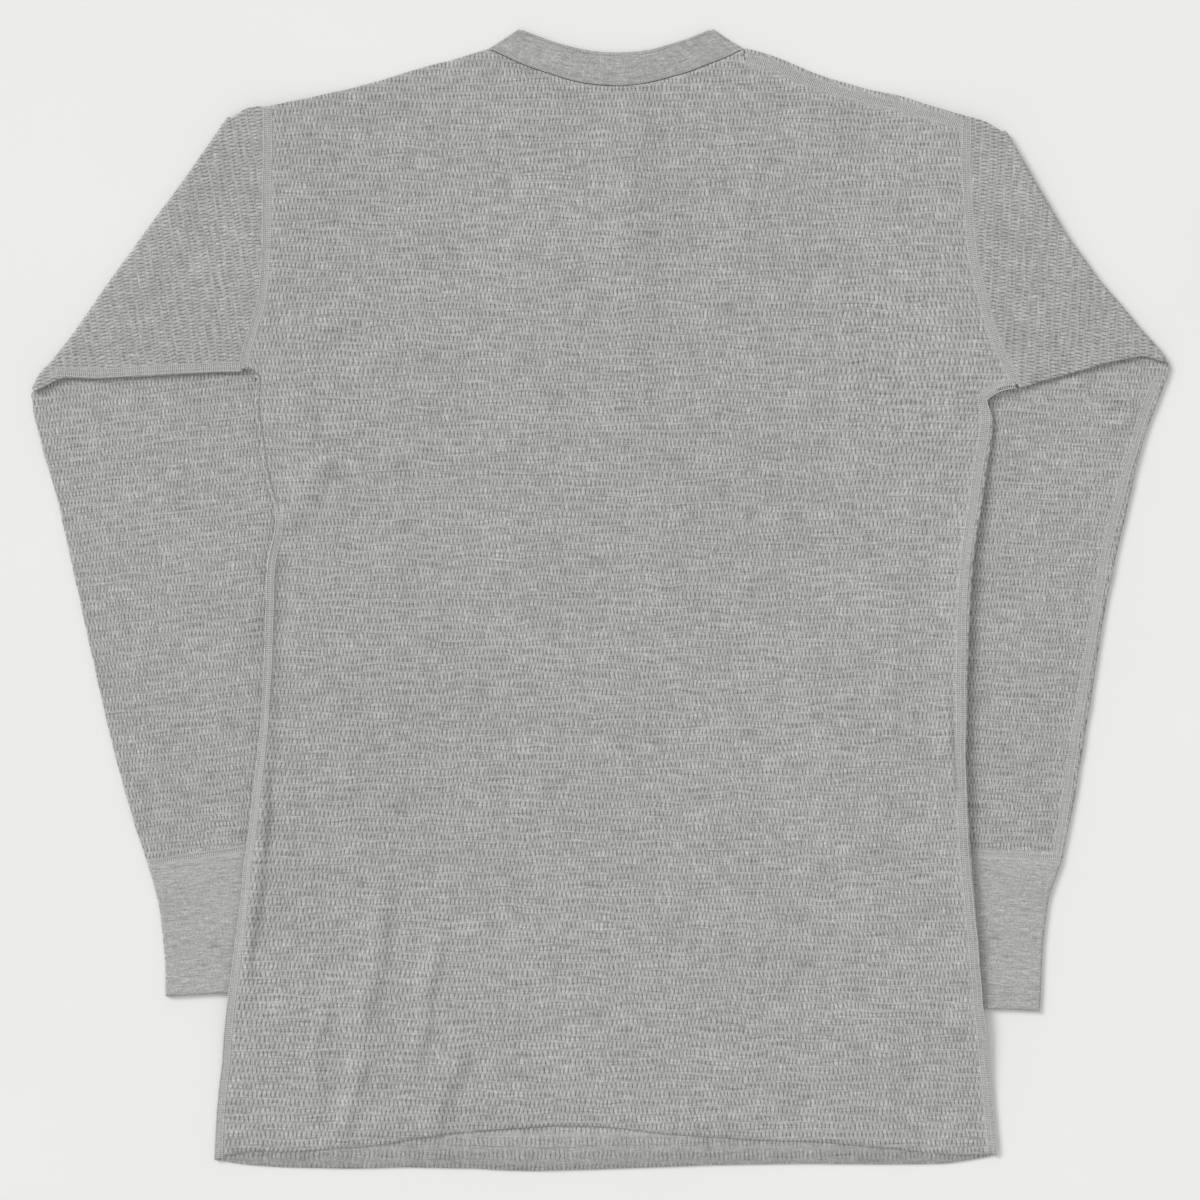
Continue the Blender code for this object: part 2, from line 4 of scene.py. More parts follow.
import bpy
import numpy as np
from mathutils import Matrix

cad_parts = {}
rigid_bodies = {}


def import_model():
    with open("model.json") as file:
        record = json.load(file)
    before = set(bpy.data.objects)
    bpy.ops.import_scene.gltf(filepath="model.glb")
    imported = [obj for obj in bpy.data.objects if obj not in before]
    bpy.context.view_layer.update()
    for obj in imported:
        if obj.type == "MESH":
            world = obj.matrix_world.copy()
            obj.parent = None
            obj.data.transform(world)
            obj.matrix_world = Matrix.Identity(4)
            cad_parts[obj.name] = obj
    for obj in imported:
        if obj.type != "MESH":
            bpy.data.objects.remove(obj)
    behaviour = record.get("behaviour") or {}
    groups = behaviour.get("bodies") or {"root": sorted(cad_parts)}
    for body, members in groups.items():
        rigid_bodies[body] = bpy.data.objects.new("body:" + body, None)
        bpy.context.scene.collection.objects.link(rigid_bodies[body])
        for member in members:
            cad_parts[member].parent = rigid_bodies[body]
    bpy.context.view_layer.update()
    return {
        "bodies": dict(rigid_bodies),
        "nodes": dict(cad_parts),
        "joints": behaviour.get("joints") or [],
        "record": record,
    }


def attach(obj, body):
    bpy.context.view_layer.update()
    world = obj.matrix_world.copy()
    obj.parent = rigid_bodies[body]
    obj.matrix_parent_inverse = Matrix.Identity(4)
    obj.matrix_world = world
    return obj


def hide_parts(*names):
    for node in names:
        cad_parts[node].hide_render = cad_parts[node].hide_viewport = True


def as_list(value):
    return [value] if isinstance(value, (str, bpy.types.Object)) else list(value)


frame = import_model()

# Everything below is in millimetres until a mesh is made
mm = 0.001
halfTurn = math.pi

# The wall, and how the layers lie on each other
cloth = {
    "wall": 1.4,
    "gap": 0.3,
    "seamGap": 0.36,
    "cuffGap": 0.43,
    "edgeRound": 0.3,
    "arcSteps": 8,
    "foldSteps": 10,
}
pitch = cloth["wall"] + cloth["gap"]
roll = pitch / 2
upward, downward = np.array([0.0, 0.0, 1.0]), np.array([0.0, 0.0, -1.0])
edge = roll + cloth["wall"] / 2
tubeDepth = 2 * cloth["wall"] + cloth["gap"]
forearmLift = tubeDepth + cloth["gap"]
foldRadius = forearmLift / 2
lowLevel = cloth["wall"] / 2
highLevel = lowLevel + pitch

# Where the whole lies, from the middle of the chest to the middle of its box
layShift = (0.860, -0.1375)


def smoothstep(share):
    share = np.clip(share, 0.0, 1.0)
    return share * share * (3.0 - 2.0 * share)


def hermite(keys, values, at):
    slopes = np.gradient(values, keys, axis=0)
    at = np.clip(at, keys[0], keys[-1])
    i = np.clip(np.searchsorted(keys, at) - 1, 0, len(keys) - 2)
    span = keys[i + 1] - keys[i]
    t = (at - keys[i]) / span
    return (
        (2 * t**3 - 3 * t**2 + 1) * values[i]
        + (t**3 - 2 * t**2 + t) * span * slopes[i]
        + (3 * t**2 - 2 * t**3) * values[i + 1]
        + (t**3 - t**2) * span * slopes[i + 1]
    )


def readCurve(table, at, column=1):
    # reads a column of a table by its first one, softly bent at each row
    rows = np.array(table, float)
    return hermite(rows[:, 0], rows[:, column], at)


def alongCurve(points, shares):
    # points at these shares of the way along a soft curve through a chain of points
    points = np.array(points, float)
    steps = np.linalg.norm(np.diff(points, axis=0), axis=1)
    lengths = np.concatenate([[0.0], np.cumsum(steps)])
    wanted = np.atleast_1d(shares) * lengths[-1]
    return np.stack([hermite(lengths, points[:, k], wanted) for k in (0, 1)], axis=1)


def unit(vectors):
    vectors = np.asarray(vectors, float)
    return vectors / np.linalg.norm(vectors, axis=-1, keepdims=True)


def addObject(name, data):
    made = bpy.data.objects.new(name, data)
    bpy.context.scene.collection.objects.link(made)
    return made


# Camera, floor and light
studio = {
    "frameWidth": 780.0,
    "lens": 85.0,
    "sensor": 36.0,
    "clip": (0.05, 100.0),
    "aim": (-0.115, -0.1375, 4.5),
    "floorHalf": 20.0,
    "floorDrop": 0.15,
    "floorColour": (0.858, 0.858, 0.843),
    "floorShade": 0.985,
    "floorMottle": 7.0,
    "floorGrain": 0.02,
    "floorRoughness": 0.8,
    "ambient": 0.65,
    "backdrop": (0.825, 0.825, 0.81),
    "sunFrom": (-0.82, 0.57),
    "sunHeight": 34.0,
    "sunSpread": 24.0,
    "sunPower": 1.84,
}


def makeCamera():
    lens = bpy.data.cameras.new("camera")
    lens.lens = studio["lens"]
    lens.sensor_width = studio["sensor"]
    lens.clip_start, lens.clip_end = studio["clip"]
    camera = addObject("camera", lens)
    x, y, z = studio["aim"]
    away = studio["frameWidth"] * studio["lens"] / studio["sensor"]
    camera.location = (x * mm, y * mm, (z + away) * mm)
    bpy.context.scene.camera = camera


def makeKeyLight():
    lamp = bpy.data.lights.new("keyLight", "SUN")
    lamp.angle = math.radians(studio["sunSpread"])
    lamp.energy = studio["sunPower"]
    holder = addObject("keyLight", lamp)
    x, y = studio["sunFrom"]
    holder.rotation_euler = (0.0, math.radians(90.0 - studio["sunHeight"]), math.atan2(y, x))
    holder.location = (x, y, 1.0)


def makeStudio():
    world = bpy.data.worlds.new("studio")
    bpy.context.scene.world = world
    world.use_nodes = True
    tree = world.node_tree
    tree.nodes.clear()
    out = tree.nodes.new("ShaderNodeOutputWorld")
    path = tree.nodes.new("ShaderNodeLightPath")
    mix = tree.nodes.new("ShaderNodeMixShader")
    light = tree.nodes.new("ShaderNodeBackground")
    seen = tree.nodes.new("ShaderNodeBackground")
    light.inputs["Color"].default_value = (1.0, 1.0, 1.0, 1.0)
    light.inputs["Strength"].default_value = studio["ambient"]
    seen.inputs["Color"].default_value = (*studio["backdrop"], 1.0)
    tree.links.new(path.outputs["Is Camera Ray"], mix.inputs["Fac"])
    tree.links.new(light.outputs[0], mix.inputs[1])
    tree.links.new(seen.outputs[0], mix.inputs[2])
    tree.links.new(mix.outputs[0], out.inputs["Surface"])
    makeKeyLight()
    bpy.context.scene.view_settings.view_transform = "Standard"
    bpy.context.scene.view_settings.look = "None"


makeCamera()
makeStudio()
print("stage: camera and light")


def addNode(tree, kind, **settings):
    node = tree.nodes.new(kind)
    for name, value in settings.items():
        setattr(node, name, value)
    return node


def feed(tree, socket, value):
    # a number or a colour is set, and another node's output is linked
    if isinstance(value, (int, float)):
        socket.default_value = value
    elif isinstance(value, tuple):
        socket.default_value = (*value, 1.0)
    else:
        tree.links.new(value, socket)


def maths(tree, operation, *values, clamp=False):
    node = addNode(tree, "ShaderNodeMath", operation=operation, use_clamp=clamp)
    for socket, value in zip(node.inputs, values):
        feed(tree, socket, value)
    return node.outputs[0]


def newGroup(name, inputs, outputs):
    tree = bpy.data.node_groups.new(name, "ShaderNodeTree")
    for label, kind, value in inputs:
        socket = tree.interface.new_socket(label, in_out="INPUT", socket_type=kind)
        if value is not None:
            socket.default_value = value
    for label, kind in outputs:
        tree.interface.new_socket(label, in_out="OUTPUT", socket_type=kind)
    return tree, tree.nodes.new("NodeGroupInput"), tree.nodes.new("NodeGroupOutput")


def useGroup(tree, group, vector, **values):
    node = tree.nodes.new("ShaderNodeGroup")
    node.node_tree = group
    tree.links.new(vector, node.inputs["Vector"])
    for name, value in values.items():
        label = name[0].upper() + "".join(" " + c.lower() if c.isupper() else c for c in name[1:])
        node.inputs[label].default_value = value
    return node


offsetSlant = 0.37


def stretched(tree, vector, scaleX, scaleY, offset):
    node = addNode(tree, "ShaderNodeMapping")
    node.inputs["Scale"].default_value = (scaleX, scaleY, 1.0)
    node.inputs["Location"].default_value = (offset, offset * offsetSlant, 0.0)
    tree.links.new(vector, node.inputs["Vector"])
    return node.outputs[0]


def noise(tree, vector, scale, detail=2.0, roughness=0.5):
    node = addNode(tree, "ShaderNodeTexNoise", noise_dimensions="2D")
    tree.links.new(vector, node.inputs["Vector"])
    node.inputs["Scale"].default_value = scale
    node.inputs["Detail"].default_value = detail
    node.inputs["Roughness"].default_value = roughness
    return node


# The knit's loops: half width and half height as shares of a loop's place, and how the
# ovals round over, in the mesh and in the shader
loopForm = (0.45, 0.84)
loopRound = 0.6
shakeScale = 170.0


# Raised loops in bricked rows: two lattices of ovals, each half a loop from the other
def makeLoopGroup():
    tree, start, end = newGroup(
        "loopPattern",
        [
            ("Vector", "NodeSocketVector", None),
            ("Loop width", "NodeSocketFloat", 0.0025),
            ("Loop height", "NodeSocketFloat", 0.0052),
            ("Wobble", "NodeSocketFloat", 0.12),
            ("Fatness", "NodeSocketFloat", 0.5),
            ("Reach", "NodeSocketFloat", 0.64),
        ],
        [("Height", "NodeSocketFloat"), ("Tone", "NodeSocketFloat")],
    )
    place = start.outputs["Vector"]
    shake = noise(tree, place, shakeScale, 1.0).outputs["Color"]
    shaken = addNode(tree, "ShaderNodeSeparateColor")
    tree.links.new(shake, shaken.inputs[0])
    parts = addNode(tree, "ShaderNodeSeparateXYZ")
    tree.links.new(place, parts.inputs[0])
    axes = []
    for k, size in ((0, "Loop width"), (1, "Loop height")):
        count = maths(tree, "DIVIDE", parts.outputs[k], start.outputs[size])
        off = maths(tree, "SUBTRACT", shaken.outputs[k], 0.5)
        axes.append(maths(tree, "MULTIPLY_ADD", off, start.outputs["Wobble"], count))
    heights, tones = [], []
    for shift in (0.0, 0.5):
        a = maths(tree, "ADD", axes[0], shift)
        b = maths(tree, "MULTIPLY_ADD", axes[1], 0.5, shift)
        wholeA, wholeB = maths(tree, "ROUND", a), maths(tree, "ROUND", b)
        across = maths(tree, "SUBTRACT", a, wholeA)
        upward = maths(tree, "MULTIPLY", maths(tree, "SUBTRACT", b, wholeB), 2.0)
        across = maths(tree, "DIVIDE", across, start.outputs["Fatness"])
        upward = maths(tree, "DIVIDE", upward, start.outputs["Reach"])
        far = maths(tree, "MULTIPLY_ADD", across, across, maths(tree, "MULTIPLY", upward, upward))
        heights.append(maths(tree, "SUBTRACT", 1.0, far, clamp=True))
        cell = addNode(tree, "ShaderNodeCombineXYZ")
        tree.links.new(wholeA, cell.inputs[0])
        tree.links.new(wholeB, cell.inputs[1])
        cell.inputs[2].default_value = shift
        white = addNode(tree, "ShaderNodeTexWhiteNoise", noise_dimensions="3D")
        tree.links.new(cell.outputs[0], white.inputs["Vector"])
        tones.append(white.outputs["Value"])
    top = maths(tree, "MAXIMUM", *heights)
    tree.links.new(maths(tree, "POWER", top, loopRound), end.inputs["Height"])
    second = maths(tree, "GREATER_THAN", heights[1], heights[0])
    gap = maths(tree, "SUBTRACT", tones[1], tones[0])
    tree.links.new(maths(tree, "MULTIPLY_ADD", gap, second, tones[0]), end.inputs["Tone"])
    return tree


# Noise in the yarn: scale across and up in 1/m, offset, detail and roughness
yarnNoise = {
    "cloud": (22.0, 60.0, 3.1, 2.0, 0.5),
    "broad": (9.0, 6.5, 2.2, 1.0, 0.5),
    "fleck": (420.0, 900.0, 7.7, 1.0, 0.5),
    "fibre": (850.0, 520.0, 1.9, 2.0, 0.6),
    "dash": (48.0, 560.0, 5.3, 1.0, 0.5),
}
broadShare = 0.45
streakNoise = (3.0, 0.62)  # detail and roughness


# Light and dark fibres spun into the yarn: streaks along a course, broad clouds and flecks
def makeHeatherGroup():
    tree, start, end = newGroup(
        "heatherYarn",
        [
            ("Vector", "NodeSocketVector", None),
            ("Streak length", "NodeSocketFloat", 14.0),
            ("Streak width", "NodeSocketFloat", 1.5),
        ],
        [("Streak", "NodeSocketFloat"), ("Cloud", "NodeSocketFloat"), ("Fleck", "NodeSocketFloat"),
         ("Fibre", "NodeSocketFloat"), ("Dash", "NodeSocketFloat")],
    )
    place = start.outputs["Vector"]
    parts = addNode(tree, "ShaderNodeSeparateXYZ")
    tree.links.new(place, parts.inputs[0])
    scaled = addNode(tree, "ShaderNodeCombineXYZ")
    for k, size in ((0, "Streak length"), (1, "Streak width")):
        millimetres = maths(tree, "MULTIPLY", parts.outputs[k], 1 / mm)
        tree.links.new(maths(tree, "DIVIDE", millimetres, start.outputs[size]), scaled.inputs[k])
    streak = noise(tree, scaled.outputs[0], 1.0, *streakNoise).outputs["Fac"]
    tree.links.new(streak, end.inputs["Streak"])
    found = {}
    for name, (across, up, offset, detail, roughness) in yarnNoise.items():
        spread = stretched(tree, place, across, up, offset)
        found[name] = noise(tree, spread, 1.0, detail, roughness).outputs["Fac"]
    broad = maths(tree, "SUBTRACT", found.pop("broad"), 0.5)
    found["cloud"] = maths(tree, "MULTIPLY_ADD", broad, broadShare, found["cloud"])
    for name, output in found.items():
        tree.links.new(output, end.inputs[name.capitalize()])
    return tree


loopGroup = makeLoopGroup()
heatherGroup = makeHeatherGroup()


def between(tree, value, low, high, fromLow=0.0, fromHigh=1.0):
    node = addNode(tree, "ShaderNodeMapRange")
    tree.links.new(value, node.inputs["Value"])
    for name, number in (("From Min", fromLow), ("From Max", fromHigh),
                         ("To Min", low), ("To Max", high)):
        node.inputs[name].default_value = number
    return node.outputs[0]


def blendColour(tree, share, first, second, kind="MIX"):
    # inputs 0, 6 and 7 of the node are its share and its two colours, and output 2 its colour
    node = addNode(tree, "ShaderNodeMix", data_type="RGBA", blend_type=kind)
    for place, value in ((0, share), (6, first), (7, second)):
        feed(tree, node.inputs[place], value)
    return node.outputs[2]


def addBump(tree, shader, height, depth):
    relief = addNode(tree, "ShaderNodeBump")
    relief.inputs["Strength"].default_value = 1.0
    relief.inputs["Distance"].default_value = depth
    tree.links.new(height, relief.inputs["Height"])
    tree.links.new(relief.outputs[0], shader.inputs["Normal"])


def newMaterial(name):
    material = bpy.data.materials.new(name)
    material.use_nodes = True
    tree = material.node_tree
    return material, tree, tree.nodes["Principled BSDF"]


# Colours and finish of the cloth. Each knit's dark colour below (gap and the dark jersey, band and
# inside colours) is painted shade: it darkens the gaps between the loops, where the mesh's relief
# also casts real shade
finish = {
    "light": (0.452, 0.454, 0.432),
    "gap": (0.190, 0.190, 0.202),
    "violet": (0.30, 0.30, 0.345),
    "jersey": (0.452, 0.458, 0.439),
    "jerseyPaintedShade": (0.245, 0.25, 0.255),
    "band": (0.422, 0.426, 0.405),
    "bandPaintedShade": (0.270, 0.272, 0.276),
    "inside": (0.461, 0.463, 0.442),
    "insidePaintedShade": (0.175, 0.175, 0.185),
    "fill": (0.42, 0.42, 0.405),
    "fillDark": (0.31, 0.31, 0.31),
    "thread": (0.60, 0.60, 0.585),
    "threadDark": (0.47, 0.47, 0.465),
    "sheen": 0.12,
    "sheenRoughness": 0.5,
    "specular": 0.25,
    "seamHeight": 0.8,
    "fuzz": 0.22,
}
# How what the groups give is read: the values at its low and high end, and those ends
readings = {
    # shown: how much of the yarn's colour shows over the painted shade, read from the loops' height
    "shown": (0.0, 1.0, 0.12, 0.82),
    "tone": (0.92, 1.08),
    "cloud": (0.955, 1.045, 0.25, 0.75),
    "fibre": (0.84, 1.16, 0.25, 0.75),
    "dash": (1.0, 0.86, 0.60, 0.72),
    "violet": (0.0, 0.55, 0.60, 0.78),
    "rough": (0.86, 0.98, 0.3, 0.7),
}
streakEnds = (0.22, 0.78)
mottle = {"detail": 3.0, "ends": (0.3, 0.7), "roughnessSpread": 0.05}


def knitMaterial(name, loop, look, colours, bump, streaks=(16.0, 1.2), streakPower=0.26):
    # loop, bump and streaks in millimetres; look is wobble, fatness and reach; colours are the
    # yarn's colour and the dark colour painted as shade between the loops
    material, tree, shader = newMaterial(name)
    place = addNode(tree, "ShaderNodeUVMap", uv_map="clothUV").outputs[0]
    loops = useGroup(tree, loopGroup, place, loopWidth=loop[0] * mm, loopHeight=loop[1] * mm,
                     wobble=look[0], fatness=look[1], reach=look[2])
    heather = useGroup(tree, heatherGroup, place, streakLength=streaks[0], streakWidth=streaks[1])
    seam = addNode(tree, "ShaderNodeAttribute", attribute_name="seamBand")
    free = maths(tree, "SUBTRACT", 1.0, seam.outputs["Fac"], clamp=True)
    above = maths(tree, "SUBTRACT", loops.outputs["Height"], finish["seamHeight"])
    height = maths(tree, "MULTIPLY_ADD", above, free, finish["seamHeight"])
    # Where the loops lie low, in the gaps between them, the yarn's colour gives way to the dark
    # colour. This is painted shade that adds to the real shade of the mesh's relief. On a seam's
    # band the height is held up, so little shade is painted there
    shown = between(tree, height, *readings["shown"])
    colour = blendColour(tree, shown, finish[colours[1]], finish[colours[0]])
    tone = between(tree, loops.outputs["Tone"], *readings["tone"])
    streak = between(tree, heather.outputs["Streak"], 1 - streakPower, 1 + streakPower, *streakEnds)
    cloud, fibre, dash = (between(tree, heather.outputs[kind.capitalize()], *readings[kind])
                          for kind in ("cloud", "fibre", "dash"))
    factor = maths(tree, "MULTIPLY", maths(tree, "MULTIPLY", tone, streak),
                   maths(tree, "MULTIPLY", cloud, maths(tree, "MULTIPLY", fibre, dash)))
    grey = addNode(tree, "ShaderNodeCombineColor")
    for socket in grey.inputs[:3]:
        tree.links.new(factor, socket)
    colour = blendColour(tree, 1.0, colour, grey.outputs[0], "MULTIPLY")
    violet = between(tree, heather.outputs["Fleck"], *readings["violet"])
    colour = blendColour(tree, violet, colour, finish["violet"])
    tree.links.new(colour, shader.inputs["Base Color"])
    rough = between(tree, heather.outputs["Fibre"], *readings["rough"])
    tree.links.new(rough, shader.inputs["Roughness"])
    shader.inputs["Sheen Weight"].default_value = finish["sheen"]
    shader.inputs["Sheen Roughness"].default_value = finish["sheenRoughness"]
    shader.inputs["Specular IOR Level"].default_value = finish["specular"]
    fuzz = maths(tree, "MULTIPLY_ADD", heather.outputs["Fibre"], finish["fuzz"], height)
    addBump(tree, shader, fuzz, bump * mm)
    return material


def plainMaterial(name, colour, dark, scale, bump, roughness):
    # bump in millimetres
    material, tree, shader = newMaterial(name)
    place = addNode(tree, "ShaderNodeTexCoord").outputs["Object"]
    node = addNode(tree, "ShaderNodeTexNoise")
    node.inputs["Scale"].default_value = scale
    node.inputs["Detail"].default_value = mottle["detail"]
    tree.links.new(place, node.inputs["Vector"])
    share = between(tree, node.outputs["Fac"], 0.0, 1.0, *mottle["ends"])
    tree.links.new(blendColour(tree, share, dark, colour), shader.inputs["Base Color"])
    spread = mottle["roughnessSpread"]
    rough = between(tree, node.outputs["Fac"], roughness - spread, roughness + spread)
    tree.links.new(rough, shader.inputs["Roughness"])
    addBump(tree, shader, node.outputs["Fac"], bump * mm)
    return material


bodyLoop = (2.55, 5.234)
sleeveLoop = (2.3, 5.2)
# Each knit: its loop, its look, its yarn colour and the dark colour painted as shade in the gaps
# between its loops, and its bump, and for some the streaks' length and width and how strong they
# are
knits = {
    "bodyKnit": (bodyLoop, (0.7, *loopForm), ("light", "gap"), 0.22),
    "sleeveKnit": (sleeveLoop, (0.95, *loopForm), ("light", "gap"), 0.22),
    "knitInside": ((2.55, 8.5), (0.8, 0.46, 0.98), ("inside", "insidePaintedShade"), 0.12,
                   (10.0, 1.0), 0.18),
    "jerseyKnit": ((0.85, 1.2), (0.06, 0.55, 0.75), ("jersey", "jerseyPaintedShade"), 0.05,
                   (9.0, 0.9), 0.30),
    "bandKnit": ((1.4, 4.2), (0.5, 0.5, 0.95), ("band", "bandPaintedShade"), 0.06, (6.0, 1.1), 0.26),
}
# Each thread: its light and dark colours, the scale of its mottling, bump and roughness
threadFinishes = {
    "seamThread": (finish["thread"], finish["threadDark"], 900.0, 0.05, 0.85),
    "fillThread": (finish["fill"], finish["fillDark"], 420.0, 0.05, 0.9),
}
materials = {name: knitMaterial(name, *sizes) for name, sizes in knits.items()}
materials.update((name, plainMaterial(name, *sizes)) for name, sizes in threadFinishes.items())


def makeFloor():
    half = studio["floorHalf"]
    mesh = bpy.data.meshes.new("floor")
    z = -studio["floorDrop"] * mm
    mesh.from_pydata([(-half, -half, z), (half, -half, z), (half, half, z), (-half, half, z)],
                     [], [(0, 1, 2, 3)])
    light = studio["floorColour"]
    dark = tuple(part * studio["floorShade"] for part in light)
    mesh.materials.append(plainMaterial("floorPaint", light, dark, studio["floorMottle"],
                                        studio["floorGrain"], studio["floorRoughness"]))
    addObject("floor", mesh)


makeFloor()
print("stage: materials and floor")


# Outer edges of the body, from the hem up to the notch under each sleeve:
# y, x, and the width from the edge in to the side seam
leftSide = (
    (-364.0, -252.4, 3.0), (-331.5, -250.6, 3.0), (-299.0, -247.3, 3.0), (-256.0, -242.8, 3.0),
    (-211.0, -236.9, 3.0), (-156.0, -230.4, 3.0), (-108.0, -224.6, 3.0), (-65.0, -220.7, 3.0),
    (-19.5, -218.7, 3.0), (23.0, -217.4, 3.2), (57.0, -212.2, 3.2), (79.0, -218.7, 3.0),
    (114.0, -223.9, 3.0), (128.0, -225.9, 3.0), (143.5, -224.3, 3.0),
)
rightSide = (
    (-360.5, 257.7, 3.0), (-331.5, 255.1, 3.0), (-299.0, 251.9, 3.0), (-263.0, 248.0, 3.2),
    (-221.0, 244.7, 3.6), (-168.0, 240.2, 4.4), (-108.0, 236.9, 3.6), (-65.0, 237.6, 4.4),
    (-19.5, 238.9, 5.4), (29.0, 242.1, 5.6), (66.0, 248.0, 6.0), (89.0, 251.2, 6.0),
    (114.0, 254.5, 5.0), (122.0, 253.8, 4.0), (130.0, 249.9, 3.0),
)
# Armhole seams, from the underarm up: x, y
leftArmhole = (
    (-233.0, 147.8), (-230.4, 161.2), (-225.9, 176.2), (-220.7, 194.3),
    (-218.1, 219.7), (-217.4, 261.3), (-216.8, 291.2), (-216.8, 321.1),
)
rightArmhole = (
    (271.4, 137.4), (263.6, 152.1), (252.5, 179.4), (246.7, 201.5),
    (241.5, 224.2), (238.2, 261.3), (236.9, 286.0), (236.9, 314.6),
)
# Folded edges of the shoulders: x, y
leftShoulder = (
    (-216.8, 321.1), (-177.8, 329.6), (-136.8, 340.6), (-110.8, 348.4),
    (-92.0, 353.2), (-73.8, 358.8),
)
rightShoulder = (
    (92.6, 359.4), (117.3, 352.3), (135.5, 344.5), (160.2, 336.1),
    (192.7, 328.2), (220.0, 319.8), (236.9, 314.6),
)
# Hems: x, y
backHem = (
    (-253.0, -364.0), (-233.0, -360.0), (-185.0, -358.2), (-143.0, -354.2),
    (-100.0, -347.4), (-54.0, -343.9), (-8.0, -342.2), (31.0, -346.0),
    (91.0, -351.0), (141.0, -352.8), (191.0, -357.5), (234.0, -361.2), (258.5, -360.5),
)
frontHem = (
    (-253.0, -364.5), (-234.0, -367.2), (-180.0, -370.0), (-117.0, -369.6),
    (-38.0, -371.6), (25.0, -369.9), (91.0, -367.4), (157.0, -367.2),
    (237.0, -365.0), (258.5, -361.0),
)
# Where the outermost straight wale runs on each side: y, x
leftWale = (
    (-364.0, -248.5), (-256.0, -239.0), (-156.0, -227.0), (-65.0, -217.5),
    (57.0, -213.5), (160.0, -216.5), (321.0, -216.6),
)
rightWale = (
    (-364.0, 254.0), (-256.0, 244.0), (-156.0, 235.5), (-65.0, 233.5),
    (57.0, 238.5), (160.0, 241.0), (321.0, 236.7),
)
# Where the body starts to come down beside a forearm: y, x
leftShelf = (
    (-253.5, -192.7), (-185.2, -188.8), (-162.5, -178.4), (-143.0, -178.4),
    (-65.0, -188.2), (65.0, -205.1), (148.8, -213.5), (216.5, -214.0), (318.5, -213.0),
)
rightShelf = (
    (-266.5, 196.6), (-188.5, 192.7), (-169.0, 184.3), (-143.0, 184.9),
    (-65.0, 198.6), (65.0, 219.4), (143.0, 232.4), (175.5, 236.6),
    (224.2, 234.9), (318.5, 233.0),
)
neck = {
    "middle": 9.4,
    "seam": (83.2, 358.8, 24.0, 88.4),
    "free": (63.0, 371.8, 15.6, 78.0),
    "cornerLoops": (0.0, 0.06, 0.25, 0.6, 1.1, 1.8, 2.8, 4.0, 5.5, 7.5),
    "backCorners": ((0.0,), (0.0, 0.04)),
    "cornerClear": 0.05,
    "cornerEase": 0.3,
    "sections": 96,
    "across": 14,
    "arcSteps": 6,
    "seamRound": 0.7,
    "freeRound": 0.8,
    "bendClear": 0.3,
}
bodySizes = {
    "loops": 178,
    "rows": 264,
    "low": -353.0,
    "backFade": 92.0,
    "frontFade": 170.0,
    "hemFade": 60.0,
    "waleFade": 95.0,
    "waleSpan": (-380.0, 345.0),
    "slowSpan": 28.0,
    "fastFade": 22.0,
    "shoulderWrap": 7.0,
    "underarmRound": (0.4, 0.75),
    "underarmSteps": 6,
    "sidePoints": 130,
    "armholePoints": 60,
    "armholeStart": 4.0,
    "chainStep": 0.05,
    "backDrape": 82.0,
    "frontDrape": 36.0,
    "shoulderRise": (230.0, 60.0),
    "hemDrape": 60.0,
    "hemSink": 0.25,
    "hemSinkFade": 6.0,
    "kinkY": 58.0,
    "kinkOverlap": 3.0,
    "cuffClear": 4.0,
    "reliefDepth": 0.42,
    "innerSkip": 8,
    "sideLoops": 10,
    "restingHeight": 0.6,
    "frontFollow": (0.2, 8.0, 30.0),
}
sleeveTables = {
    "left": {
        "sign": -1.0,
        "armhole": leftArmhole,
        "over": ((-216.8, 321.1), (-231.0, 319.0)),
        "fold": ((-242.8, 315.2), (-258.4, 292.5), (-310.0, 221.5), (-356.0, 158.0),
                 (-366.8, 145.2), (-371.0, 137.0)),
        "under": ((-233.0, 147.8), (-265.0, 146.9), (-290.0, 145.6), (-328.0, 143.7),
                  (-352.0, 142.9)),
        "outer": ((-370.7, 134.0), (-370.4, 128.0), (-366.9, 110.5), (-355.9, 71.5), (-338.3, -6.5),
                  (-320.8, -84.5), (-307.1, -136.5)),
        "inner": ((-190.0, -92.0), (-186.0, -128.0)),
        "join": ((-185.0, -155.5), (-295.6, -171.6)),
        "cuffInner": ((-186.5, -172.0), (-195.0, -208.0)),
        "cuffOuter": ((-288.9, -195.7), (-285.0, -224.2)),
        "cuffEnd": ((-198.6, -253.5), (-283.7, -258.1)),
        "upperWale": (-0.983, -0.182),
        "foreWale": (0.105, -0.994),
        "cuffWale": (0.08, -0.997),
    },
    "right": {
        "sign": 1.0,
        "armhole": rightArmhole,
        "over": ((236.9, 314.6), (250.0, 310.4)),
        "fold": ((262.9, 306.2), (276.6, 282.1), (294.1, 252.2), (309.7, 227.5),
                 (330.5, 200.8), (350.0, 178.1), (362.8, 163.4), (367.6, 156.8)),
        "under": ((271.4, 137.4), (291.0, 143.2), (312.3, 148.8), (339.0, 156.0),
                  (355.0, 158.0)),
        "outer": ((369.8, 152.4), (368.6, 146.0), (364.3, 134.6), (352.0, 101.4), (346.1, 76.7),
                  (335.7, 31.2), (327.9, -6.5), (319.5, -58.5), (309.1, -122.9)),
        "inner": ((197.5, -100.0), (192.5, -134.0)),
        "join": ((191.0, -162.5), (300.2, -168.4)),
        "cuffInner": ((192.5, -180.0), (199.5, -218.0)),
        "cuffOuter": ((292.8, -189.2), (288.3, -215.8)),
        "cuffEnd": ((201.8, -264.6), (285.7, -267.8)),
        "upperWale": (0.9986, -0.052),
        "foreWale": (-0.035, -0.999),
        "cuffWale": (-0.06, -0.998),
    },
}

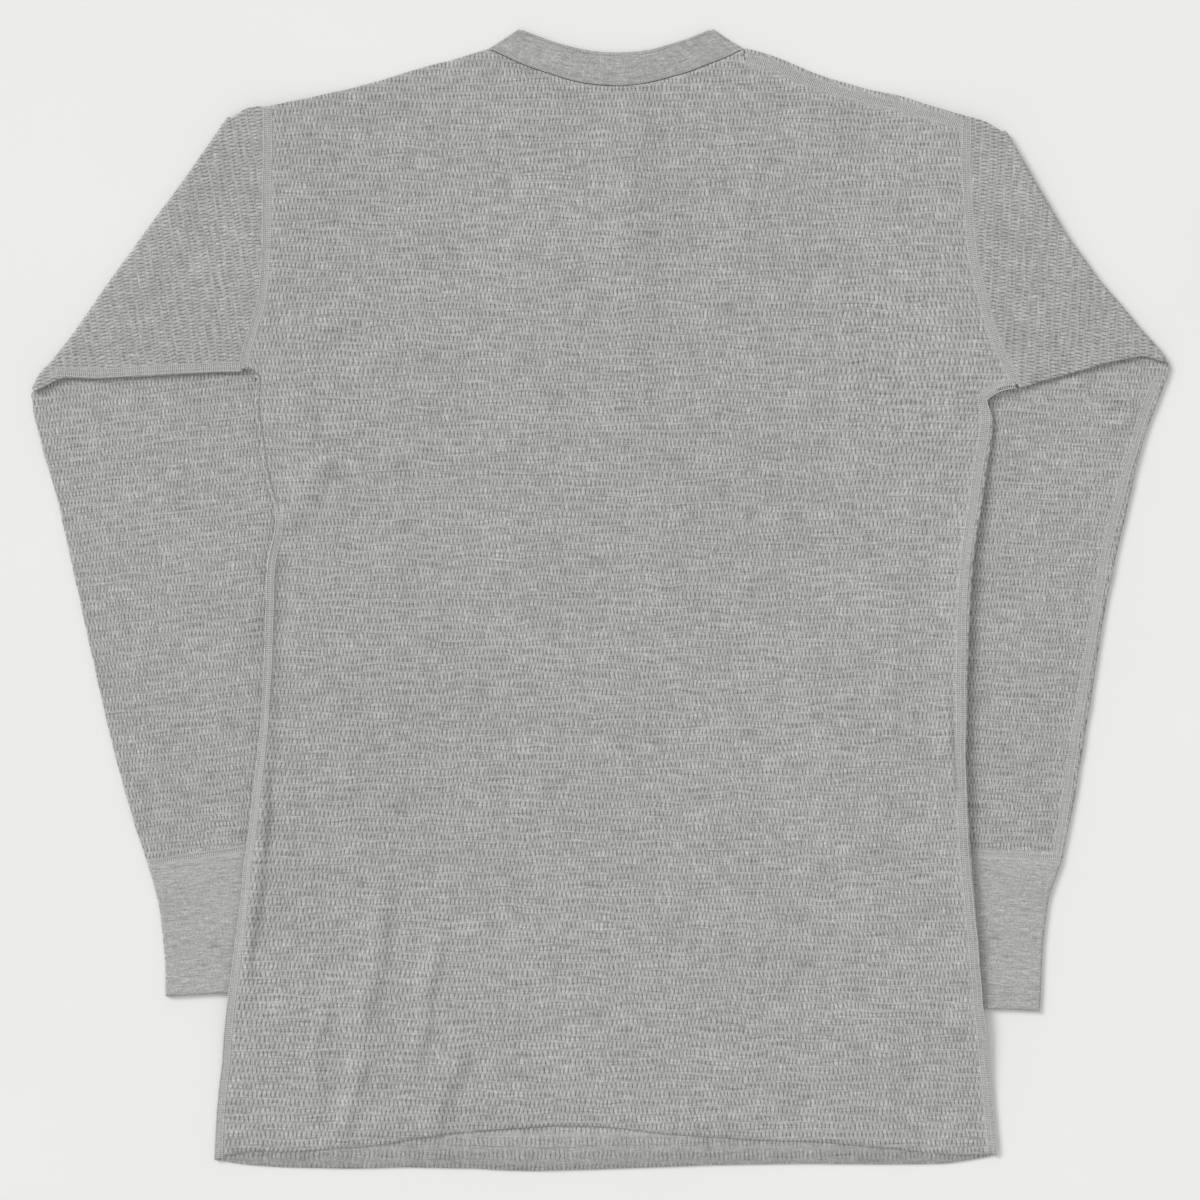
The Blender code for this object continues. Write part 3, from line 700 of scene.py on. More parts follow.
# Soft ridges: height, half width at the right and at the left of the way along, and the way
creases = (
    (2.1, 10.0, 8.0, ((-170.0, 101.0), (-183.0, 84.0), (-195.0, 64.0), (-209.0, 41.0))),
    (1.5, 10.0, 7.0, ((-191.0, 146.0), (-192.0, 122.0), (-186.0, 92.0))),
    (2.2, 9.0, 6.0, ((-139.5, -172.0), (-142.0, -211.0), (-144.5, -231.0), (-151.5, -253.5),
                     (-157.0, -270.0), (-160.0, -292.0))),
    (2.2, 8.0, 5.2, ((-155.5, -286.0), (-157.5, -303.0), (-161.5, -322.0), (-167.5, -344.5),
                     (-171.0, -358.0))),
    (2.1, 8.0, 5.2, ((-105.0, -206.0), (-108.5, -227.5), (-110.5, -241.0), (-113.5, -260.0),
                     (-116.0, -283.0), (-120.5, -297.0), (-124.0, -312.0))),
    (2.3, 9.0, 6.0, ((-86.0, -282.0), (-94.0, -300.0), (-101.5, -315.0), (-106.0, -329.0),
                     (-109.0, -345.0), (-110.5, -362.0))),
    (1.1, 6.0, 4.0, ((-175.0, -252.0), (-179.0, -268.0), (-183.0, -288.0))),
    (2.3, 6.0, 5.0, ((-211.5, 74.0), (-213.5, 30.0), (-215.0, -20.0), (-216.0, -72.0),
                     (-217.4, -122.0))),
    (2.7, 9.0, 3.4, ((-217.0, -78.0), (-218.4, -123.5), (-219.6, -149.5), (-222.8, -182.0),
                     (-226.0, -204.8), (-229.3, -229.0), (-232.5, -268.0))),
    (0.9, 6.0, 5.0, ((-164.5, -68.0), (-165.0, -100.0), (-166.5, -142.0))),
    (1.2, 7.0, 5.0, ((-189.0, -278.0), (-186.0, -305.0), (-184.0, -334.0))),
    (1.9, 20.0, 14.0, ((18.0, 366.0), (19.0, 260.0), (20.0, 180.0), (22.0, 80.0))),
    (1.0, 8.0, 6.0, ((186.0, 18.0), (187.5, -20.0), (188.0, -60.0), (186.0, -102.0))),
    (1.9, 9.0, 2.8, ((223.0, -44.0), (225.2, -85.0), (227.2, -112.0), (229.4, -142.0))),
    (0.8, 10.0, 9.0, ((124.0, -184.0), (121.0, -240.0), (117.0, -306.0))),
    (0.9, 12.0, 12.0, ((-62.0, 136.0), (-60.0, 60.0), (-54.0, -16.0))),
    (0.9, 9.0, 9.0, ((150.0, 236.0), (160.0, 170.0), (165.0, 104.0))),
    (2.7, 14.0, 10.0, ((250.5, 136.0), (247.5, 95.0), (243.5, 55.0), (238.5, 20.0),
                       (235.5, -19.5), (234.0, -65.0), (233.6, -108.0), (236.5, -168.0),
                       (241.0, -221.0), (244.5, -268.0), (247.0, -312.0))),
)
# Those of a forearm's upper face
foreCreases = (
    (2.6, 3.4, 4.6, ((296.0, 143.5), (314.0, 139.0), (331.0, 132.5), (358.0, 123.5))),
    (1.2, 4.0, 4.5, ((318.0, 106.0), (334.0, 113.0), (350.0, 121.0))),
    (0.5, 8.0, 6.0, ((-330.0, 112.0), (-326.0, 92.0), (-318.0, 66.0))),
    (0.4, 8.0, 8.0, ((-268.0, 60.0), (-262.0, 20.0), (-258.0, -30.0))),
    (0.4, 7.0, 7.0, ((292.0, 20.0), (286.0, -30.0), (282.0, -70.0))),
)
# Those of an upper sleeve
upperCreases = (
    (0.6, 9.0, 8.0, ((-236.0, 290.0), (-262.0, 262.0), (-286.0, 232.0))),
    (0.5, 8.0, 8.0, ((-240.0, 214.0), (-272.0, 200.0), (-304.0, 184.0))),
    (0.6, 9.0, 8.0, ((248.0, 276.0), (268.0, 246.0), (292.0, 216.0))),
    (0.5, 8.0, 8.0, ((262.0, 186.0), (290.0, 180.0), (318.0, 170.0))),
)


def raisedBy(x, y, reach):
    # how far a forearm under the body raises it, over this reach beside the forearm
    raised = 0.0
    for shelf, inward, side in ((leftShelf, 1.0, "left"), (rightShelf, -1.0, "right")):
        beside = inward * (x - readCurve(shelf, y)) / reach
        cuffEnd = min(point[1] for point in sleeveTables[side]["cuffEnd"]) - bodySizes["cuffClear"]
        past = (cuffEnd - y) / bodySizes["hemDrape"]
        raised = raised + (1.0 - smoothstep(beside)) * (1.0 - smoothstep(past))
    return forearmLift * raised


def frontReach(y):
    # the front lies closer to the floor than the back, but meets it at the shoulders
    low, high = bodySizes["frontDrape"], bodySizes["backDrape"]
    start, span = bodySizes["shoulderRise"]
    return low + (high - low) * smoothstep((y - start) / span)


# How ridges are drawn: steps to a row of the way, how far they reach as a multiple of their
# half width, and the share of the way over which each end fades
ridge = {"steps": 3, "reach": 2.6, "ends": 0.28}
farAway = 1e9


def ridgeHeight(x, y, table):
    total = np.zeros(np.shape(x))
    for height, right, left, points in table:
        line = alongCurve(points, np.linspace(0, 1, ridge["steps"] * len(points)))
        reach = ridge["reach"] * max(right, left)
        (lowX, lowY), (highX, highY) = line.min(axis=0) - reach, line.max(axis=0) + reach
        near = (x > lowX) & (x < highX) & (y > lowY) & (y < highY)
        nearX, nearY = x[near], y[near]
        best = np.full(nearX.shape, farAway)
        hand, run = np.zeros(nearX.shape), np.zeros(nearX.shape)
        steps = len(line) - 1
        for k in range(steps):
            way = line[k + 1] - line[k]
            dx, dy = nearX - line[k, 0], nearY - line[k, 1]
            share = np.clip((dx * way[0] + dy * way[1]) / (way @ way), 0, 1)
            offX, offY = dx - share * way[0], dy - share * way[1]
            far = np.hypot(offX, offY)
            closer = far < best
            best = np.where(closer, far, best)
            hand = np.where(closer, way[0] * offY - way[1] * offX, hand)
            run = np.where(closer, (k + share) / steps, run)
        ends = smoothstep(run / ridge["ends"]) * smoothstep((1 - run) / ridge["ends"])
        halfWidth = np.where(hand > 0, left, right)
        total[near] += height * ends * np.exp(-((best / halfWidth) ** 2))
    return total


def backZ(x, y):
    # the middle of the back panel's wall
    return highLevel + raisedBy(x, y, bodySizes["backDrape"]) + ridgeHeight(x, y, creases)


loopBlur = (-0.15, 0.0, 0.15)  # shares of a loop over which its height is evened out


def loopHeight(u, v, size):
    # the same ovals as in the shader group, for the mesh
    def dome(a, b):
        a, b = a - np.round(a), 2 * (b / 2 - np.round(b / 2))
        return np.clip(1 - (a / loopForm[0]) ** 2 - (b / loopForm[1]) ** 2, 0, 1)

    total = 0.0
    for stepA in loopBlur:
        for stepB in loopBlur:
            a, b = u / size[0] + stepA, v / size[1] + stepB
            total = total + np.maximum(dome(a, b), dome(a + 0.5, b + 1)) ** loopRound
    return total / len(loopBlur) ** 2


def quads(grid):
    # the four corners of each place in a grid of points
    return np.stack([grid[:-1, :-1], grid[:-1, 1:], grid[1:, 1:], grid[1:, :-1]], axis=2)


# How deep the wall lies at a seam and at its rim, as shares of the depth between the loops
seamDepth = 0.45
rimDepth = 0.4


class Shell:
    # one piece of cloth: the surface in the middle of its wall, its outer and its inner faces

    def __init__(self, flip=False):
        self.points, self.height, self.seam = [], [], []
        self.count = 0
        self.faces, self.corners = [], []
        self.inner, self.innerCorners = [], []
        self.flip = flip

    def add(self, points, height=None, seam=None):
        points = np.asarray(points, float).reshape(-1, 3)
        n = len(points)
        self.points.append(points)
        self.height.append(np.ones(n) if height is None else np.ravel(height))
        self.seam.append(np.zeros(n) if seam is None else np.ravel(seam))
        ids = np.arange(self.count, self.count + n)
        self.count += n
        return ids

    def addGrid(self, ids, uv, inner=None):
        # ids is rows by columns; inner gives the rows and columns that the inner wall keeps
        for rows, columns, faces, corners in (
            (np.arange(ids.shape[0]), np.arange(ids.shape[1]), self.faces, self.corners),
            (*(inner or ((), ())), self.inner, self.innerCorners),
        ):
            if len(rows) < 2 or len(columns) < 2:
                continue
            part, place = ids[np.ix_(rows, columns)], uv[np.ix_(rows, columns)]
            faces.append(quads(part).reshape(-1, 4))
            corners.append(quads(place).reshape(-1, 4, 2))

    def zipRows(self, first, second):
        # joins two rows of points, each (ids, uv, keys), by triangles between like keys
        (idsA, uvA, keysA), (idsB, uvB, keysB) = first, second
        i, j, lastA, lastB = 0, 0, len(idsA) - 1, len(idsB) - 1
        faces, corners = [], []
        while i < lastA or j < lastB:
            if j == lastB or (i < lastA and keysA[i + 1] + keysA[i] <= keysB[j + 1] + keysB[j]):
                faces.append((idsA[i], idsA[i + 1], idsB[j]))
                corners.append((uvA[i], uvA[i + 1], uvB[j]))
                i += 1
            else:
                faces.append((idsA[i], idsB[j + 1], idsB[j]))
                corners.append((uvA[i], uvB[j + 1], uvB[j]))
                j += 1
        self.faces.append(np.array(faces))
        self.corners.append(np.array(corners))

    def facing(self, faces, corners, turned):
        # the faces of one side of the wall, turned over where they would point inwards
        step = -1 if turned else 1
        return [(f[:, ::step], c[:, ::step]) for f, c in zip(faces, corners)]

    def build(self, name, outerMaterial, innerMaterial, depth=0.0):
        points = np.concatenate(self.points)
        height, seam = np.concatenate(self.height), np.concatenate(self.seam)
        outer = self.facing(self.faces, self.corners, self.flip)
        inner = self.facing(self.inner, self.innerCorners, not self.flip)
        normals = pointNormals(points, outer)
        rim = rimOf(outer)
        rimIds = np.array(list(rim))
        before = {b: a for a, b in rim.items()}
        run = points[[rim[a] for a in rimIds]] - points[[before[a] for a in rimIds]]
        inset = np.zeros_like(points)
        inset[rimIds] = unit(np.cross(run, normals[rimIds])) * cloth["edgeRound"]
        half = cloth["wall"] / 2
        sunk = depth * (1 - height) * (1 - seam) + depth * seamDepth * seam
        sunk[rimIds] = depth * rimDepth
        used = np.unique(np.concatenate([f.ravel() for f, _ in inner]))
        top = points + normals * (half - sunk)[:, None] - inset
        under = points[used] - normals[used] * half - inset[used]
        underIds = np.full(len(points), -1)
        underIds[used] = len(points) + np.arange(len(used))
        midIds = np.full(len(points), -1)
        midIds[rimIds] = len(points) + len(used) + np.arange(len(rimIds))
        polygons, places, slots = [], [], []
        for faces, corners in outer:
            polygons += faces.tolist()
            places.append(corners.reshape(-1, 2))
            slots += [0] * len(faces)
        for faces, corners in inner:
            polygons += underIds[faces].tolist()
            places.append(corners.reshape(-1, 2))
            slots += [1] * len(faces)
        uvAt = np.zeros((len(points), 2))
        for faces, corners in outer:
            uvAt[faces.ravel()] = corners.reshape(-1, 2)
        for corners, spots, slot in rimFaces(rim, midIds.tolist(), underIds.tolist()):
            polygons.append(corners)
            places.append(uvAt[spots])
            slots.append(slot)
        return makeMesh(name, np.concatenate([top, under, points[rimIds]]), polygons,
                        np.concatenate(places), np.concatenate([seam, seam[used], seam[rimIds]]),
                        [outerMaterial, innerMaterial], slots)


def pointNormals(points, outer):
    normals = np.zeros_like(points)
    for faces, _ in outer:
        count = faces.shape[1]
        starts, ends = ((0, 1), (2, 3)) if count == 4 else ((0, 0), (1, 2))
        way = np.cross(*(points[faces[:, end]] - points[faces[:, start]]
                         for start, end in zip(starts, ends)))
        for k in range(count):
            np.add.at(normals, faces[:, k], way)
    return unit(normals + 1e-12)


def rimOf(outer):
    # each point on an open edge, with the next one along it
    edges = np.concatenate([
        np.stack([faces[:, k], faces[:, (k + 1) % faces.shape[1]]], 1)
        for faces, _ in outer for k in range(faces.shape[1])
    ])
    known = set(map(tuple, edges[:, ::-1].tolist()))
    return {a: b for a, b in edges.tolist() if (a, b) not in known}


def rimFaces(rim, midIds, underIds):
    # closes the wall along its rim, and gives each face's corners, the outer points whose
    # places they take, and its material: one row of points stands half way through the wall
    left = dict(rim)
    while left:
        start = next(a for a in left if underIds[a] >= 0)
        chain = [start]
        while len(chain) < 2 or chain[-1] != start:
            chain.append(left.pop(chain[-1]))
        for a, b in zip(chain, chain[1:]):
            yield [b, a, midIds[a], midIds[b]], [b, a, a, b], 0
        kept = [k for k, a in enumerate(chain) if underIds[a] >= 0]
        for first, last in zip(kept, kept[1:]):
            a, b = chain[first], chain[last]
            middle = (first + last + 1) // 2
            for k in range(first, last):
                near = a if k < middle else b
                here, ahead = chain[k], chain[k + 1]
                yield [midIds[ahead], midIds[here], underIds[near]], [ahead, here, near], 1
            yield [midIds[chain[middle]], underIds[a], underIds[b]], [chain[middle], a, b], 1


# How the rows and columns of the knit wander: reach across and up, lengths of the waves,
# and the share of it that is left at the edges of the body and on the sleeves
wander = {
    "reach": (0.42, 0.55),
    "lengths": (18.0, 62.0),
    "waves": 24,
    "seed": 5,
    "body": ((-212.0, 224.0), (-345.0, 332.0)),
    "edge": 24.0,
    "least": 0.3,
}


def wandered(points):
    # points where they lie in the scene, in metres: all pieces move by the same field, so
    # layers and seams stay together
    points = np.array(points, float)
    draw = np.random.default_rng(wander["seed"])
    x, y = points[:, 0].copy(), points[:, 1].copy()
    share = 1.0
    for along, (low, high) in zip((x, y), wander["body"]):
        share = share * smoothstep((along - low) / wander["edge"])
        share = share * smoothstep((high - along) / wander["edge"])
    share = wander["least"] + (1.0 - wander["least"]) * share
    for axis, reach in enumerate(wander["reach"]):
        total = 0.0
        for _ in range(wander["waves"]):
            turn, phase = draw.uniform(0.0, 2 * halfTurn, 2)
            pace = 2 * halfTurn / draw.uniform(*wander["lengths"])
            total = total + np.sin(pace * (x * math.cos(turn) + y * math.sin(turn)) + phase)
        points[:, axis] += reach * math.sqrt(2 / wander["waves"]) * total * share
    return (points + (*layShift, 0.0)) * mm


def makeMesh(name, points, polygons, places, seam, used, slots):
    mesh = bpy.data.meshes.new(name)
    mesh.from_pydata(wandered(points).tolist(), [], polygons)
    layer = mesh.uv_layers.new(name="clothUV")
    layer.data.foreach_set("uv", (np.asarray(places) * mm).astype(np.float32).ravel())
    band = mesh.attributes.new("seamBand", "FLOAT", "POINT")
    band.data.foreach_set("value", np.asarray(seam, np.float32))
    for material in used:
        mesh.materials.append(materials[material])
    mesh.polygons.foreach_set("material_index", np.array(slots, np.int32))
    mesh.shade_smooth()
    mesh.update()
    return addObject(name, mesh)


# The body
def shoulderY(x):
    x = np.asarray(x, float)
    height = np.zeros_like(x)
    for table, chosen in ((leftShoulder, x < neck["middle"]), (rightShoulder, x >= neck["middle"])):
        first, last = table[0], table[-1]
        inside = readCurve(table, x)
        lowSlope = (table[1][1] - first[1]) / (table[1][0] - first[0])
        highSlope = (last[1] - table[-2][1]) / (last[0] - table[-2][0])
        inside = inside + np.where(x < first[0], lowSlope * (x - first[0]), 0.0)
        inside = inside + np.where(x > last[0], highSlope * (x - last[0]), 0.0)
        height = np.where(chosen, inside, height)
    return height


def backTop(x):
    halfWidth, top, drop, _ = neck["seam"]
    left = x < neck["middle"]
    wrap = bodySizes["shoulderWrap"] + cloth["gap"]
    straight = shoulderY(x) - np.where(left, edge, wrap)
    share = np.clip((x - neck["middle"]) / halfWidth, -1, 1)
    seam = top - drop * np.cos(halfTurn / 2 * share) - cloth["seamGap"]
    inside = np.where(left, np.abs(share) < 1.0, x < neckCorner(1) - neck["cornerClear"])
    return np.where(inside, seam, straight)


def frontTop(x):
    halfWidth, top, _, drop = neck["seam"]
    left = x < neck["middle"]
    wrap = bodySizes["shoulderWrap"] + cloth["gap"]
    straight = shoulderY(x) - np.where(left, wrap, edge)
    share = np.clip((x - neck["middle"]) / (halfWidth + cloth["seamGap"]), -1, 1)
    seam = top - (drop + cloth["seamGap"]) * np.sqrt(1.0 - share**2)
    return np.where(np.abs(share) >= 1.0, straight, seam)


def armholeTable(side):
    table = leftArmhole if side < 0 else rightArmhole
    return [(y, x) for x, y in table]


def sideChain(side, atSeam):
    # the panel's end on one side from hem to shoulder: points, the way out, the seam's width
    table = leftSide if side < 0 else rightSide
    hole = armholeTable(side)
    heights = np.linspace(table[0][0], table[-1][0], bodySizes["sidePoints"])
    points = np.stack([readCurve(table, heights), heights], axis=1)
    run = unit(np.gradient(points, axis=0))
    ways = side * np.stack([run[:, 1], -run[:, 0]], axis=1)
    seams = readCurve(table, heights, 2)
    armEnd, armNext = np.array(hole[0][::-1]), np.array(hole[1][::-1])
    endWay = unit(armEnd - armNext)
    notch = points[-1]
    roundX, roundY = bodySizes["underarmRound"]
    turn = notch + (armEnd - notch) * (roundX, roundY)
    bendShares = np.linspace(0, 1, bodySizes["underarmSteps"] + 1)[1:]
    bend = alongCurve([notch, turn, armEnd], bendShares)
    firstWay = unit(ways[-2] + endWay)
    ways[-1] = firstWay
    bendWays = unit([firstWay * (1 - t) + endWay * t for t in bendShares])
    points, ways = np.concatenate([points, bend]), np.concatenate([ways, bendWays])
    seams = np.concatenate([seams, np.full(len(bend), seams[-1])])
    inward = seams + cloth["gap"] if atSeam else np.full(len(seams), edge)
    ends = points - ways * inward[:, None]
    ends[-1, 0] -= side * cloth["seamGap"]
    above = np.linspace(ends[-1, 1] + bodySizes["armholeStart"], hole[-1][0],
                        bodySizes["armholePoints"])
    armX = readCurve(hole, above) - side * cloth["seamGap"] / 2
    chain = np.concatenate([ends, np.stack([armX, above], axis=1)])
    keep = [0]
    for k in range(1, len(chain)):
        if chain[k, 1] > chain[keep[-1], 1] + bodySizes["chainStep"]:
            keep.append(k)
    return chain[keep], ends, ways, seams


def softened(values, step, span):
    # a row of values, evened out over this span
    reach = int(3 * span / step)
    weights = np.exp(-0.5 * (np.arange(-reach, reach + 1) * step / span) ** 2)
    padded = np.pad(values, reach, mode="edge")
    return np.convolve(padded, weights / weights.sum(), mode="valid")


def atNeckCorners(share, beside):
    # the columns nearest the neck's corners moved onto them, with others this many loops beside
    low, high = leftWale[-1][1], rightWale[-1][1]
    half, bow = (high - low) / 2, (high + low) / 2 - neck["middle"]
    loop = 1.0 / bodySizes["loops"]
    for side, loopsBeside in zip((-1, 1), beside):
        reach = side * (neck["seam"][0] + cloth["seamGap"])
        s = (-half + math.sqrt(half**2 + 4 * bow * reach)) / (2 * bow)
        corner = (s + 1) / 2
        share = share[np.abs(share - corner) > neck["cornerEase"] * loop]
        inner = corner - side * loop * np.array(loopsBeside)
        share = np.sort(np.concatenate([share, inner]))
    return share


def panelGrid(atSeam, top, hem, share, topFade):
    # every point of a panel along its wales: x, y, and its place in the cloth, u and v.
    # Near an underarm the points move out with the edge, and the loops stay as they are.
    fine = np.arange(*bodySizes["waleSpan"], 1.0)
    offs = {}
    for side, wale in ((-1, leftWale), (1, rightWale)):
        chain = sideChain(side, atSeam)[0]
        off = np.interp(fine, chain[:, 1], chain[:, 0]) - readCurve(wale, fine)
        slow = softened(off, 1.0, bodySizes["slowSpan"])
        offs[side] = (slow, off - slow)

    def waleX(share, y):
        low, high = readCurve(leftWale, y), readCurve(rightWale, y)
        s = 2 * share - 1
        centre = neck["middle"]
        x = centre + (high - low) / 2 * s + ((high + low) / 2 - centre) * s * s
        moved = 0.0
        for side, start in ((-1, low), (1, high)):
            slow, fast = (np.interp(y, fine, part) for part in offs[side])
            away = side * (start - x)
            x = x + slow * (1 - smoothstep(away / bodySizes["waleFade"]))
            moved = moved + fast * (1 - smoothstep(away / bodySizes["fastFade"]))
        return x + moved, moved / (high - low)

    low = bodySizes["low"]
    high = low + bodySizes["rows"] * bodyLoop[1] / 2
    base = np.linspace(low, high, bodySizes["rows"] + 1)[:, None]
    topX = waleX(share, np.full(len(share), high))[0]
    lowX = waleX(share, np.full(len(share), low))[0]
    topOff, hemOff = top(topX) - high, readCurve(hem, lowX) - low
    y = base + smoothstep((base - high) / topFade + 1) * topOff
    y = y + (1 - smoothstep((base - low) / bodySizes["hemFade"])) * hemOff
    x, moved = waleX(share[None, :], y)
    u = (share[None, :] + moved) * bodySizes["loops"] * bodyLoop[0]
    return x, y, np.stack([u, y - low], axis=2)


# How a band's edge falls off, how its line is evened out, and where the lines that follow
# the shoulder and the armholes start and end
bandLook = {
    "fall": 1.3,
    "ease": 2.2,
    "shoulder": (94.0, 235.5),
    "shoulderGap": 0.15,
    "armhole": (2.4, -1.5),
    "points": 60,
}
seamLines = {}  # name: points x, y on the cloth, for the bands and their stitches


def nearLine(x, y, line, halfWidth):
    # 1 within a band round a line of points, falling to 0 just outside it
    best = np.full(np.shape(x), farAway)
    for a, b in zip(line, line[1:]):
        way = b - a
        share = np.clip(((x - a[0]) * way[0] + (y - a[1]) * way[1]) / (way @ way), 0, 1)
        best = np.minimum(best, np.hypot(x - a[0] - share * way[0], y - a[1] - share * way[1]))
    return 1 - smoothstep((best - halfWidth) / bandLook["fall"])


def seamLine(side):
    # the side seam, where the back's edge meets the front's, evened out along its length
    _, ends, ways, seams = sideChain(side, True)
    points = ends + ways * cloth["gap"] / 2
    steps = np.linalg.norm(np.diff(points, axis=0), axis=1)
    lengths = np.concatenate([[0.0], np.cumsum(steps)])
    marks = np.linspace(0.0, lengths[-1], int(lengths[-1]))
    return np.stack([softened(np.interp(marks, lengths, points[:, k]), 1.0, bandLook["ease"])
                     for k in (0, 1)], axis=1)


def addBodyLines():
    x = np.linspace(*bandLook["shoulder"], bandLook["points"])
    y = shoulderY(x) - bodySizes["shoulderWrap"] - bandLook["shoulderGap"]
    seamLines["shoulder"] = np.stack([x, y], axis=1)
    for side, sideName in ((-1, "Left"), (1, "Right")):
        hole = armholeTable(side)
        first, last = hole[0][0] + bandLook["armhole"][0], hole[-1][0] + bandLook["armhole"][1]
        y = np.linspace(first, last, bandLook["points"])
        seamLines["armhole" + sideName] = np.stack([readCurve(hole, y), y], axis=1)
        seamLines["side" + sideName] = seamLine(side)
    # above the kink the left side seam is turned in, and only its join shows
    line, kink = seamLines["sideLeft"], bodySizes["kinkY"]
    seamLines["sideLeft"] = line[line[:, 1] < kink]
    seamLines["sideLeftTop"] = line[line[:, 1] > kink - bodySizes["kinkOverlap"]]


addBodyLines()

# Half width of each seam's band on the body
bodyBands = {"shoulder": 3.2, "armholeLeft": 3.0, "armholeRight": 3.1, "sideLeft": 2.8,
             "sideRight": 3.2}


def bodySeams(x, y, names):
    return np.max([nearLine(x, y, seamLines[name], bodyBands[name]) for name in names], axis=0)


def skipped(count, step):
    return np.unique(np.append(np.arange(0, count, step), count - 1))


def rollOver(shell, ids, uv, outward, ends, upwards, uvWay):
    # rolls a row of points over to the next level and on to its ends
    start = np.concatenate(shell.points)[ids]
    rise = roll if upwards else -roll
    rows = []
    for turn in np.linspace(0, halfTurn, cloth["arcSteps"] + 1)[1:]:
        shift = np.column_stack([roll * np.sin(turn) * outward,
                                 np.full(len(ids), rise * (1 - np.cos(turn)))])
        place = uv + np.outer(np.full(len(ids), roll * turn), uvWay)
        rows.append((start + shift, place))
    last, lastPlace = rows[-1]
    final = np.column_stack([ends, last[:, 2]])
    run = np.linalg.norm(final[:, :2] - last[:, :2], axis=1)
    for share in (0.5, 1.0):
        rows.append((last + (final - last) * share, lastPlace + np.outer(run * share, uvWay)))
    made = [ids]
    for points, place in rows:
        height = loopHeight(place[:, 0], place[:, 1], bodyLoop)
        seam = bodySeams(points[:, 0], points[:, 1], ("sideLeft", "sideRight", "shoulder"))
        onTop = points[:, 2] > start[:, 2] + roll * 1.5
        made.append(shell.add(points, height, seam * onTop))
    return np.array(made), np.array([uv] + [place for _, place in rows])


def neckCorner(side):
    return neck["middle"] + side * (neck["seam"][0] + cloth["seamGap"])


def rollShoulder(shell, ids, uv, x, upwards):
    # rolls a panel's top over a shoulder, as far as the seam on its other side
    ends = np.stack([x, shoulderY(x) - bodySizes["shoulderWrap"]], axis=1)
    outward = np.tile((0.0, 1.0), (len(x), 1))
    return rollOver(shell, ids, uv, outward, ends, upwards, (0.0, 1.0))


def backPanel():
    shell = Shell()
    share = atNeckCorners(np.linspace(0, 1, 2 * bodySizes["loops"] + 1), neck["backCorners"])
    x, y, uv = panelGrid(True, backTop, backHem, share, bodySizes["backFade"])
    fromHem = (y - y[:1]) / bodySizes["hemSinkFade"]
    z = backZ(x, y) - bodySizes["hemSink"] * (1 - smoothstep(fromHem))
    relief = loopHeight(uv[..., 0], uv[..., 1], bodyLoop)
    ids = shell.add(np.stack([x, y, z], axis=2), relief, bodySeams(x, y, bodyBands))
    ids = ids.reshape(x.shape)
    rows = skipped(x.shape[0], bodySizes["innerSkip"])
    corner = int(np.argmin(np.abs(x[-1] - neckCorner(-1)))) + 1
    columns = np.unique(np.append(skipped(x.shape[1], bodySizes["innerSkip"]), corner - 1))
    shell.addGrid(ids, uv, (rows, columns))
    grid, places = rollShoulder(shell, ids[-1, :corner], uv[-1, :corner], x[-1, :corner], False)
    shell.addGrid(grid, places, (np.arange(len(grid)), columns[columns < corner]))
    return shell.build("backPanel", "bodyKnit", "knitInside", bodySizes["reliefDepth"])


